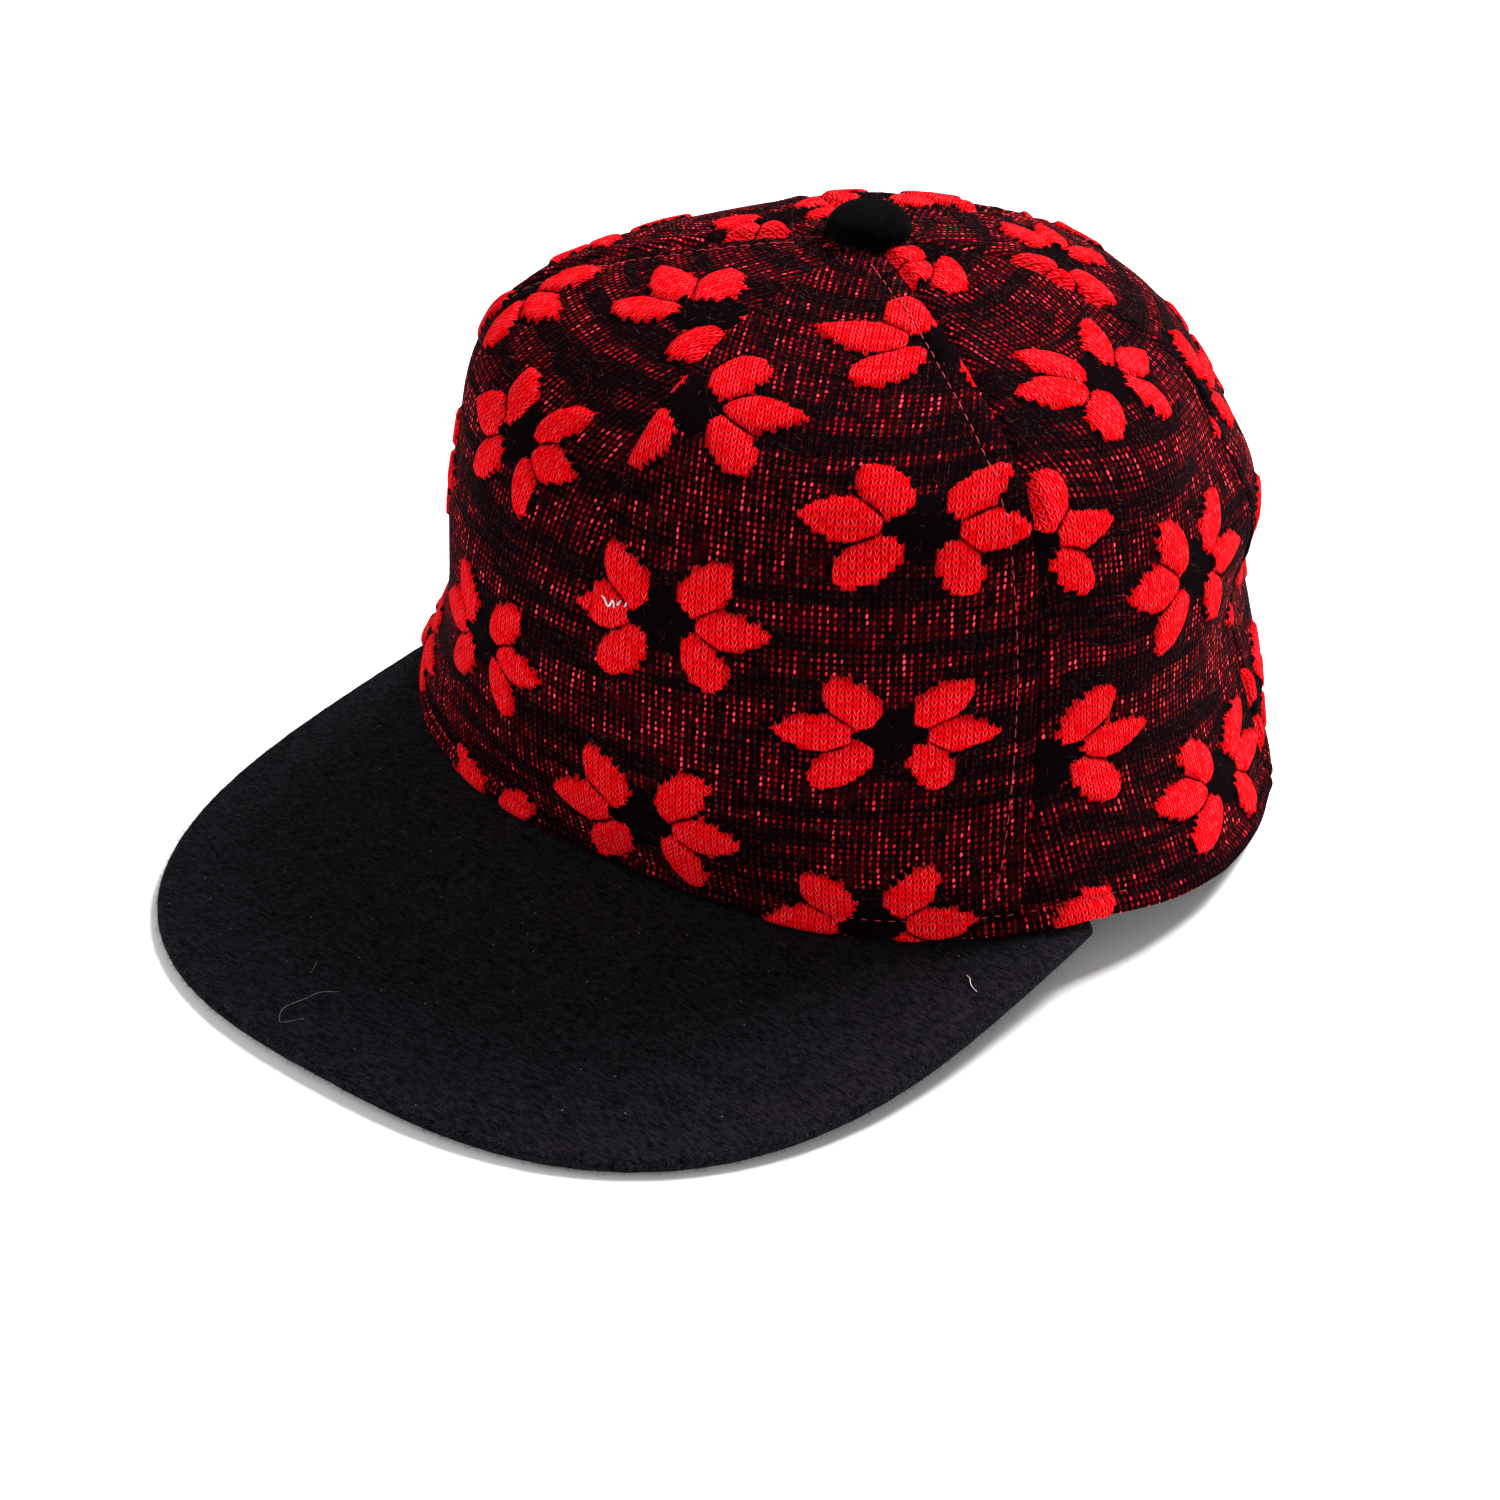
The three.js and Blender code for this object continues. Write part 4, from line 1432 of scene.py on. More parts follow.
@dataclass
class KnitPanel:
    """One panel of the crown's knit, a closed shell with turned edges."""

    shop: Workshop
    name: str
    right: float
    left: float
    flowers: np.ndarray
    columns: int
    rows: int
    half_seam: bool = False
    lining_stride: int = 4
    lining_depth: float = 1.9
    seam_lap: float = 0.03
    seam_dip: float = 0.7
    seam_soft: float = 1.3
    seam_pad: float = 0.25
    seam_pad_from: float = 3.2
    seam_pad_width: float = 1.7
    seam_clear: float = 1.3
    topstitch_from: float = 5.5
    topstitch_groove: float = 0.3
    topstitch_width: float = 0.7
    hem_depth: float = 4.6
    hem_roll: float = 0.75
    hem_roll_power: float = 0.7
    hem_groove: float = 0.5
    hem_groove_width: float = 0.65
    hem_turn: float = 1.2
    wrinkle: float = 0.28
    wrinkle_cell: float = 17.0
    crumple: float = 0.098
    crumple_cell: float = 6.0
    pucker: float = 0.16
    pucker_pitch: float = 7.5
    pucker_reach: float = 5.0
    cloths: list = field(default_factory=list)

    def __post_init__(self) -> None:
        """Lays out the cloth, in one part or in two beside the half seam."""
        form = self.shop.form
        if self.half_seam:
            parts = ((self.right, 0.0, 0.0), (0.0, self.left, 0.0))
        else:
            parts = ((self.right, self.left, None),)
        self.cloths = [Cloth(form, *part) for part in parts]
        middle = (self.right + self.left) / 2.0
        stations = self.cloths[0].stations
        meridian = form.wall(middle, stations)
        steps = np.linalg.norm(np.diff(meridian, axis=0), axis=-1)
        top = float(form.station_at_radius(np.array(middle), form.apex_hole))
        climbed = np.concatenate([[0.0], np.cumsum(steps)])
        self.pace_lengths = climbed / np.interp(top, stations, climbed)
        self.pace_stations = stations / top

    def pick_cloth(self, angle: np.ndarray) -> np.ndarray:
        """Number of the cloth at an angle: 0, or 1 to the left of the half seam."""
        return ((angle >= 0.0) & self.half_seam).astype(int)

    def flat_places(
        self, angle: np.ndarray, station: np.ndarray, cloth: np.ndarray
    ) -> np.ndarray:
        """Flat places of wall points on the cloths given by number."""
        places = [each.place(angle, station) for each in self.cloths]
        return np.where((cloth == 0)[..., None], places[0], places[-1])

    def nearest_flower(self, places: np.ndarray) -> np.ndarray:
        """Number of the flower nearest to each flat place."""
        away = np.linalg.norm(places[..., None, :] - self.flowers[:, :2], axis=-1)
        return np.argmin(away, axis=-1)

    def from_heart(self, places: np.ndarray, flower: np.ndarray) -> np.ndarray:
        """Places in a flower's own shape, in mm.

        The place less the heart's is turned back by the flower's turn, and each part
        is divided by the stretch of the cloth.

        Args:
            places: Flat places on the cloth.
            flower: Numbers of the flowers.

        Returns:
            Places across and up from the heart, along the last axis.
        """
        across, up, turn, wide, tall = np.moveaxis(self.flowers[flower], -1, 0)
        x, y = places[..., 0] - across, places[..., 1] - up
        cosine, sine = np.cos(np.radians(turn)), np.sin(np.radians(turn))
        turned = [(cosine * x + sine * y) / wide, (cosine * y - sine * x) / tall]
        return np.stack(turned, -1)

    def locate(self, share: np.ndarray, climb: np.ndarray) -> dict[str, np.ndarray]:
        """Finds places on the panel.

        The station runs from the lower edge to the apex hole so that equal climbs
        are equal lengths on the middle meridian. The angle runs between the seams,
        each a little past its line, so that two panels meet there.

        Args:
            share: Share across the panel, from 0 at its right seam to 1 at its left.
            climb: Share up the panel, from 0 at its lower edge to 1 at the apex hole.

        Returns:
            Named arrays: angle, station, right and left (distances to the seams),
            edge (distance above the lower edge) and flat (flat places), in mm.
        """
        form = self.shop.form
        plain = lerp(self.right, self.left, share)
        low = form.arch_station(plain)
        high = form.station_at_radius(plain, form.apex_hole)
        pace = np.interp(climb, self.pace_lengths, self.pace_stations)
        station = lerp(low, high, np.clip(pace, 0.0, 1.0))
        lap = np.degrees(self.seam_lap / form.reach(plain, station))
        right = form.seam_angle(self.right, station) - lap
        left = form.seam_angle(self.left, station) + lap
        angle = lerp(right, left, share)
        width = np.radians(left - right) * form.reach(angle, station)
        cloth = self.pick_cloth(angle)
        flat = self.flat_places(angle, station, cloth)
        lower = self.flat_places(angle, low, cloth)
        return {
            "angle": angle,
            "station": station,
            "right": share * width,
            "left": (1.0 - share) * width,
            "edge": flat[..., 1] - lower[..., 1],
            "flat": flat,
        }

    def rise(self, at: dict[str, np.ndarray]) -> np.ndarray:
        """Rise of the knit's outer face over the plain wall, in mm.

        It is the sum of the flowers' pads, which fade at the seams, the dips and pads
        of the seams, the groove of the topstitch, the rolled hem with its groove and
        quarter-round turn, and low wrinkles and puckers.

        Args:
            at: Places from locate.

        Returns:
            The rise at each place.
        """
        form, flat = self.shop.form, at["flat"]
        seam = np.minimum(at["right"], at["left"])
        total = self.seam_shape(seam, 1.0)
        free = 1.0 - bell(seam, self.seam_clear)
        if self.half_seam:
            reach = form.reach(at["angle"], at["station"])
            middle = np.abs(np.radians(at["angle"])) * reach
            strength = form.half_seam_share(at["station"])
            total = total + self.seam_shape(middle, 0.5) * strength
            groove = bell(seam - self.topstitch_from, self.topstitch_width)
            total = total - self.topstitch_groove * groove
            free = free * (1.0 - bell(middle, self.seam_clear) * strength)
        local = self.from_heart(flat, self.nearest_flower(flat))
        total = total + self.shop.knit.relief(local) * free
        edge = np.maximum(at["edge"], 0.0)
        over = np.clip(edge / self.hem_depth, 0.0, 1.0)
        roll = np.sin(math.pi * over) ** self.hem_roll_power
        groove = bell(edge - self.hem_depth, self.hem_groove_width)
        turn = np.sqrt(1.0 - (1.0 - np.minimum(edge / self.hem_turn, 1.0)) ** 2) - 1.0
        total = total + self.hem_roll * roll - self.hem_groove * groove + turn
        seed = abs(int(self.right)) + 3
        wave = soft_noise(flat[..., 0], flat[..., 1], self.wrinkle_cell, seed)
        small = soft_noise(flat[..., 0], flat[..., 1], self.crumple_cell, seed + 1)
        total = total + self.wrinkle * wave + self.crumple * small
        ripple = np.sin(flat[..., 1] * 2.0 * math.pi / self.pucker_pitch + 2.0 * wave)
        return total + self.pucker * ripple * np.exp(-seam / self.pucker_reach)

    def seam_shape(self, away: np.ndarray, strength: float) -> np.ndarray:
        """Dip at a seam and the pad of its turned edges beside it, two bells."""
        pad = self.seam_pad * bell(away - self.seam_pad_from, self.seam_pad_width)
        return strength * (pad - self.seam_dip * bell(away, self.seam_soft))

    def surface(self, at: dict[str, np.ndarray], lift: float = 0.0) -> np.ndarray:
        """Points on the outer face, lifted off it by a length in mm."""
        where = at["angle"], at["station"]
        raised = (self.rise(at) + lift)[..., None]
        return self.shop.form.wall(*where) + self.shop.form.outward(*where) * raised

    def build(self) -> bpy.types.Object:
        """Builds the shell.

        Its outer face is a fine grid with the relief, its inner face a coarse grid
        one cloth deep, and four rims close it.

        Returns:
            The dressed piece.
        """
        form = self.shop.form
        share = np.linspace(0.0, 1.0, self.columns)[None, :]
        climb = np.linspace(0.0, 1.0, self.rows)[:, None]
        share, climb = np.broadcast_arrays(share, climb)
        at = self.locate(share, climb)
        outer_points = self.surface(at)
        stride = self.lining_stride
        angle = at["angle"][::stride, ::stride]
        station = at["station"][::stride, ::stride]
        inner_points = form.wall(angle, station)
        inner_points = inner_points - form.outward(angle, station) * self.lining_depth
        body = Body()
        outer = body.add_points(outer_points)
        inner = body.add_points(inner_points)
        body.add_grid(outer)
        body.add_grid(inner, look=1, flip=True)
        body.add_rim(outer[0], inner[0], flip=True)
        body.add_rim(outer[-1], inner[-1])
        body.add_rim(outer[:, 0], inner[:, 0])
        body.add_rim(outer[:, -1], inner[:, -1], flip=True)
        piece = body.build(f"{self.name}_knit", self.shop.axis)
        self.lay_out(piece, at, stride)
        return self.shop.finish_piece(piece, ["knit", "lining"], "knit", self.name)

    def lay_out(
        self, piece: bpy.types.Object, at: dict[str, np.ndarray], stride: int
    ) -> None:
        """Gives the panel its two flat maps.

        The map "cloth" holds places in wales and courses. The map "flower" holds
        places in mm from the heart of the flower nearest to the face.

        Args:
            piece: The panel's piece, its outer grid's points before its inner ones.
            at: Places of the outer grid.
            stride: Outer points for each inner one.
        """
        knit = self.shop.knit
        angle, station = (
            np.concatenate([grid.ravel(), grid[::stride, ::stride].ravel()])
            for grid in (at["angle"], at["station"])
        )
        numbers = corner_numbers(piece)
        sizes = np.zeros(len(piece.data.polygons), np.int32)
        piece.data.polygons.foreach_get("loop_total", sizes)
        starts = np.concatenate([[0], np.cumsum(sizes)[:-1]])
        face = np.repeat(np.arange(len(sizes)), sizes)
        middle = np.add.reduceat(angle[numbers], starts) / sizes
        cloth = self.pick_cloth(middle)[face]
        places = self.flat_places(angle[numbers], station[numbers], cloth)
        centre = np.add.reduceat(places, starts, axis=0) / sizes[:, None]
        flower = self.nearest_flower(centre)[face]
        add_map(piece, "cloth", places / (knit.wale, knit.course))
        add_map(piece, "flower", self.from_heart(places, flower))


@dataclass
class Topstitch:
    """Rows of sewing stitches, each a short arched tube."""

    shop: Workshop
    name: str
    finish: str
    stitch: float = 2.3
    space: float = 0.7
    radius: float = 0.12
    arch: float = 0.24
    sink: float = 0.1
    end_radius: float = 0.35
    rings: int = 7
    sides: int = 6

    def run(self, body: Body, path: np.ndarray, lifts: np.ndarray) -> None:
        """Sews along a path.

        A stitch's ring at share s stands arch sin(pi s) - sink above the path, and
        its radius narrows to a share of itself at both ends.

        Args:
            body: The body that takes the stitches.
            path: Points of the path, in mm.
            lifts: Directions out of the cloth at those points.
        """
        steps = np.linalg.norm(np.diff(path, axis=0), axis=-1)
        along = np.concatenate([[0.0], np.cumsum(steps)])
        count = int(along[-1] / (self.stitch + self.space))
        share = np.linspace(0.0, 1.0, self.rings)
        starts = (np.arange(count) + 0.2) * (self.stitch + self.space)
        where = starts[:, None] + share * self.stitch
        read = lambda values: np.stack(
            [np.interp(where, along, values[:, k]) for k in range(3)], axis=-1
        )
        lift = unit(read(lifts))
        height = self.arch * np.sin(math.pi * share) - self.sink
        centres = read(path) + lift * height[:, None]
        radii = self.radius * lerp(self.end_radius, 1.0, np.sin(math.pi * share) ** 0.5)
        body.add_tubes(centres, lift, radii, self.sides)

    def finish_body(self, body: Body, slot: str) -> bpy.types.Object:
        """Makes the piece of all the stitches sewn on a body."""
        piece = body.build(self.name, self.shop.axis)
        return self.shop.finish_piece(piece, [self.finish], slot)


@dataclass
class Fuzz:
    """Short loose fibres that stand out of a cloth."""

    shop: Workshop
    name: str
    finish: str
    slot: str
    seed: int
    shortest: float
    longest: float
    radius: float = 0.032
    tip_radius: float = 0.4
    curl: float = 0.35
    rings: int = 4
    sides: int = 3

    def build(
        self, roots: np.ndarray, lifts: np.ndarray, stand: float
    ) -> bpy.types.Object:
        """Grows a fibre at each root.

        A fibre leaves along the mix of a random direction and the lift, and bends by
        a second random direction with the square of its run. None goes below the
        surface that the cap rests on.

        Args:
            roots: Where the fibres start, in mm.
            lifts: Directions out of the cloth there.
            stand: Share of the lift in a fibre's direction.

        Returns:
            The dressed piece.
        """
        luck = np.random.default_rng(self.seed)
        count = len(roots)
        length = luck.uniform(self.shortest, self.longest, (count, 1, 1))
        heading = unit(luck.normal(size=(count, 3)) + lifts * stand)
        below = np.minimum((heading * lifts).sum(-1, keepdims=True), 0.0)
        heading = unit(heading - 2.0 * below * lifts)[:, None]
        bend = luck.normal(size=(count, 1, 3)) * self.curl
        run = np.linspace(0.0, 1.0, self.rings)[None, :, None]
        centres = roots[:, None] + length * (run * heading + run * run * bend)
        centres[..., 2] = np.maximum(centres[..., 2], self.radius)
        across = np.broadcast_to(unit(luck.normal(size=(count, 1, 3))), centres.shape)
        radii = self.radius * np.linspace(1.0, self.tip_radius, self.rings)
        body = Body()
        body.add_tubes(centres, across, radii, self.sides)
        piece = body.build(self.name, self.shop.axis)
        return self.shop.finish_piece(piece, [self.finish], self.slot)


@dataclass
class Lint:
    """A few pale threads that lie on the cap."""

    shop: Workshop
    hairs: tuple = (
        (0.015, ((-12.9, -144.6), (-16.1, -146.9), (-16.9, -149.4), (-18.3, -152.9),
                 (-18.2, -155.4), (-16.5, -157.5), (-15.1, -157.1), (-12.9, -154.4))),
        (0.015, ((-23.7, -140.4), (-22.6, -142.3), (-22.1, -143.9))),
        (0.09, ((80.4, -66.9), (81.6, -67.3), (82.8, -68.5), (84.9, -69.3))),
    )
    pulls: tuple = (
        ((2.68, 3.439), (3.242, 3.418), (3.949, 3.375), (4.452, 3.44), (4.836, 3.378)),
        ((5.518, 3.461), (5.267, 3.412)),
        ((6.213, 3.462), (6.227, 3.42)),
    )
    pull_radius: float = 0.24
    pull_lift: float = 0.144
    hair_lift: float = 0.15
    steps: int = 40
    taper_run: tuple = (0.06, 0.94)
    taper_power: float = 0.4
    hair_sides: int = 5
    pull_sides: int = 6

    def smooth(self, corners: np.ndarray) -> np.ndarray:
        """Rounds a line of places with a natural curve through them."""
        run = np.linspace(0.0, len(corners) - 1.0, self.steps)
        return np.stack([NaturalSpline(column).at(run) for column in corners.T], -1)

    def build(self, panel: KnitPanel) -> bpy.types.Object:
        """Lays the hairs on the brim and the pulled pale thread on a petal.

        Args:
            panel: The front panel.

        Returns:
            The dressed piece.
        """
        form = self.shop.form
        body = Body()
        taper = np.sin(np.linspace(*self.taper_run, self.steps) * math.pi)
        taper = taper**self.taper_power
        upward = np.tile([0.0, 0.0, 1.0], (1, self.steps, 1))
        for radius, corners in self.hairs:
            flat = self.smooth(np.array(corners))
            height = form.brim_lift - form.gap + form.brim_rise(flat[:, 0], flat[:, 1])
            line = np.column_stack([flat, height + radius + self.hair_lift])
            body.add_tubes(line[None], upward, radius * taper, self.hair_sides)
        for corners in self.pulls:
            angle, station = self.smooth(np.array(corners)).T
            share = (angle - panel.right) / (panel.left - panel.right)
            low = form.arch_station(angle)
            high = form.station_at_radius(angle, form.apex_hole)
            pace = (station - low) / (high - low)
            climb = np.interp(pace, panel.pace_stations, panel.pace_lengths)
            at = panel.locate(share, climb)
            line = panel.surface(at, self.pull_lift)
            lifts = form.outward(at["angle"], at["station"])
            radii = self.pull_radius * taper
            body.add_tubes(line[None], lifts[None], radii, self.pull_sides)
        piece = body.build("pale_lint", self.shop.axis)
        return self.shop.finish_piece(piece, ["pale_lint"], None)


@dataclass
class Crown:
    """The crown: five knit panels and the stitches that hold them."""

    shop: Workshop
    front_columns: int = 273
    front_rows: int = 237
    side_columns: int = 145
    side_rows: int = 265
    path_steps: int = 400
    gore_length: float = 172.0
    side_hem_sewn: float = 0.24
    fibres_per_degree: float = 16.0
    fibre_lengths: tuple = (0.7, 2.2)
    fibre_stand: float = 0.5
    fibre_run: tuple = (0.02, 0.98)
    stitch_run: tuple = (0.05, 0.93)
    hem_rounds: int = 3
    least_edge: float = 0.1

    def panels(self) -> dict[str, KnitPanel]:
        """Lists the panels by name, with the flowers of each one's cloth."""
        form = self.shop.form
        temple, rear = form.temple_angle, form.rear_side_angle
        mirror = np.array([-1.0, 1.0, -1.0, 1.0, 1.0])
        shift = np.array([6.0, -9.0, 0.0, 0.0, 0.0])
        front = KnitPanel(
            self.shop, "front_panel", -temple, temple, FRONT_FLOWERS,
            self.front_columns, self.front_rows, half_seam=True,
        )
        gores = (
            ("side_panel_left", temple, rear, LEFT_FLOWERS),
            ("side_panel_right", -rear, -temple, LEFT_FLOWERS * mirror + shift),
            ("back_panel_left", rear, 180.0, BACK_LEFT_FLOWERS),
            ("back_panel_right", -180.0, -rear, BACK_LEFT_FLOWERS * mirror - shift),
        )
        size = self.side_columns, self.side_rows
        made = [front] + [KnitPanel(self.shop, *gore, *size) for gore in gores]
        return {panel.name: panel for panel in made}

    def build(self) -> list[bpy.types.Object]:
        """Builds the panels and their stitches."""
        panels = self.panels()
        pieces = [panel.build() for panel in panels.values()]
        pieces += [self.seam_stitches(panels), self.hem_stitches(panels)]
        return pieces + [self.fuzz(panels), Lint(self.shop).build(panels["front_panel"])]

    def fuzz(self, panels: dict[str, KnitPanel]) -> bpy.types.Object:
        """Grows loose fibres all over the knit, more of them on the wider panels."""
        luck = np.random.default_rng(71)
        roots, lifts = [], []
        for panel in panels.values():
            count = int(self.fibres_per_degree * (panel.left - panel.right))
            share, climb = luck.uniform(*self.fibre_run, (2, count))
            path, outward = self.row(panel, share, climb)
            roots.append(path)
            lifts.append(outward)
        lengths = self.fibre_lengths
        fibres = Fuzz(self.shop, "knit_fuzz", "knit_fibre", "knit", 72, *lengths)
        places = np.concatenate(roots), np.concatenate(lifts)
        return fibres.build(*places, self.fibre_stand)

    def row(
        self, panel: KnitPanel, share: np.ndarray, climb: np.ndarray
    ) -> tuple[np.ndarray, np.ndarray]:
        """Path of a row of stitches on a panel, and the directions out of it."""
        at = panel.locate(share, climb)
        return panel.surface(at), self.shop.form.outward(at["angle"], at["station"])

    def seam_stitches(self, panels: dict[str, KnitPanel]) -> bpy.types.Object:
        """Sews a red row beside each temple seam, on the front panel."""
        panel = panels["front_panel"]
        climb = np.linspace(*self.stitch_run, self.path_steps)
        middle = np.full(self.path_steps, 0.5)
        at = panel.locate(middle, climb)
        share = panel.topstitch_from / (at["right"] + at["left"])
        rows = Topstitch(self.shop, "temple_topstitch", "red_thread")
        body = Body()
        for across in (share, 1.0 - share):
            rows.run(body, *self.row(panel, across, climb))
        return rows.finish_body(body, "knit")

    def hem_stitches(self, panels: dict[str, KnitPanel]) -> bpy.types.Object:
        """Sews a dark red row along the hem's groove, past the temple seams."""
        rows = Topstitch(self.shop, "hem_topstitch", "dark_red_thread", stitch=2.0)
        body = Body()
        sewn = {
            "front_panel": (0.005, 0.995),
            "side_panel_left": (0.01, self.side_hem_sewn),
            "side_panel_right": (1.0 - self.side_hem_sewn, 0.99),
        }
        for name, (first, last) in sewn.items():
            panel = panels[name]
            share = np.linspace(first, last, self.path_steps)
            climb = np.full(self.path_steps, panel.hem_depth / self.gore_length)
            for _ in range(self.hem_rounds):
                at = panel.locate(share, climb)
                climb = climb * panel.hem_depth / np.maximum(at["edge"], self.least_edge)
            rows.run(body, *self.row(panel, share, climb))
        return rows.finish_body(body, "knit")


@dataclass
class Brim:
    """The flat brim, its felt wrapped round a rounded edge."""

    shop: Workshop
    stations: int = 261
    span_steps: int = 56
    nose_steps: int = 11
    lump: float = 0.14
    lump_cell: float = 5.0
    grain_cell: float = 1.7
    ease_steps: float = 5.0
    nose_wear: float = 0.06
    top_fibres: int = 1600
    edge_fibres: int = 4200
    fibre_lengths: tuple = (0.25, 1.0)
    fibre_stand: float = 0.7
    fibre_spread: float = 0.8
    grain_share: float = 0.5
    wear_step: float = 1.6
    wear_turn: float = 2.0
    wear_cell: float = 2.0

    def build(self) -> list[bpy.types.Object]:
        """Builds the brim.

        A section runs from the tucked edge along the top to the shoulder, round the
        nose as a half circle and back underneath, and the sections are spread from
        one end of the brim to the other. Low lumps of felt lift both faces.

        Returns:
            The dressed brim.
        """
        form = self.shop.form
        angle = np.linspace(-form.brim_end_angle, form.brim_end_angle, self.stations)
        edge = form.brim_outline(self.stations)
        reach = form.reach(angle, np.zeros_like(angle))
        turn = np.radians(angle)
        spoke = np.stack([np.sin(turn), -np.cos(turn)], -1)
        hem = spoke * reach[:, None]
        tucked = spoke * (reach - form.brim_tuck)[:, None]
        half = form.brim_thickness / 2.0
        outward = unit(edge - hem)
        shoulder = edge - outward * half
        run = np.linspace(0.0, 1.0, self.span_steps)[None, :, None]
        flat = lerp(hem[:, None], shoulder[:, None], run)
        lift = form.brim_lift - form.gap
        height = lift + form.brim_rise(flat[..., 0], flat[..., 1])
        level = form.hem_height(angle) - form.gap
        inner = np.concatenate([tucked, level[:, None]], -1)[:, None]
        top = np.concatenate([inner, np.dstack([flat, height])], 1)
        lumps = self.lump * soft_noise(top[..., 0], top[..., 1], self.lump_cell, 41)
        grains = soft_noise(top[..., 0], top[..., 1], self.grain_cell, 42)
        lumps += self.grain_share * self.lump * grains
        eased = np.minimum(np.arange(top.shape[1]) / self.ease_steps, 1.0)
        bottom = top - (0.0, 0.0, form.brim_thickness)
        top[..., 2] += lumps * eased
        bottom[..., 2] += np.abs(lumps) * eased
        tilt = np.linspace(0.5, -0.5, self.nose_steps + 2)[1:-1] * math.pi
        centre = np.concatenate([shoulder, height[:, -1:] - half], -1)[:, None]
        nose_out = np.concatenate([outward, np.zeros_like(height[:, -1:])], -1)[:, None]
        along = np.arange(self.stations)[:, None] * self.wear_step
        around = tilt[None, :] * self.wear_turn
        worn = np.abs(soft_noise(along, around, self.wear_cell, 43))[..., None]
        rounded = np.cos(tilt)[:, None] * nose_out + np.sin(tilt)[:, None] * (0, 0, 1)
        nose = centre + half * (1.0 - self.nose_wear * worn) * rounded
        ring = np.concatenate([top, nose, bottom[:, ::-1]], 1)
        body = Body()
        numbers = body.add_points(ring)
        body.add_grid(np.concatenate([numbers, numbers[:, :1]], 1), flip=True)
        body.add_faces(numbers[:1, ::-1])
        body.add_faces(numbers[-1:])
        piece = body.build("brim_felt", self.shop.axis)
        felt = self.shop.finish_piece(piece, ["felt"], "felt", "brim")
        return [felt, self.fuzz(top[:, 6:], nose, nose_out)]

    def fuzz(
        self, top: np.ndarray, nose: np.ndarray, outward: np.ndarray
    ) -> bpy.types.Object:
        """Grows loose fibres on the brim's top and more of them round its edge.

        Args:
            top: Points of the upper face.
            nose: Points of the rounded edge.
            outward: Level directions out of the edge.

        Returns:
            The dressed piece.
        """
        luck = np.random.default_rng(73)
        flat = top.reshape(-1, 3)[luck.integers(0, top[..., 0].size, self.top_fibres)]
        spread = self.fibre_spread
        flat = flat + luck.uniform(-spread, spread, flat.shape) * (1.0, 1.0, 0.0)
        station = luck.uniform(0.0, self.stations - 1.001, self.edge_fibres)
        first = station.astype(int)
        row = luck.integers(0, nose.shape[1], self.edge_fibres)
        share = (station - first)[:, None]
        edge = lerp(nose[first, row], nose[first + 1, row], share)
        level = outward[first, 0]
        upward = np.tile([0.0, 0.0, 1.0], (self.top_fibres, 1))
        lengths = self.fibre_lengths
        fibres = Fuzz(self.shop, "brim_fuzz", "felt_fibre", "felt", 74, *lengths)
        roots, lifts = np.concatenate([flat, edge]), np.concatenate([upward, level])
        return fibres.build(roots, lifts, self.fibre_stand)


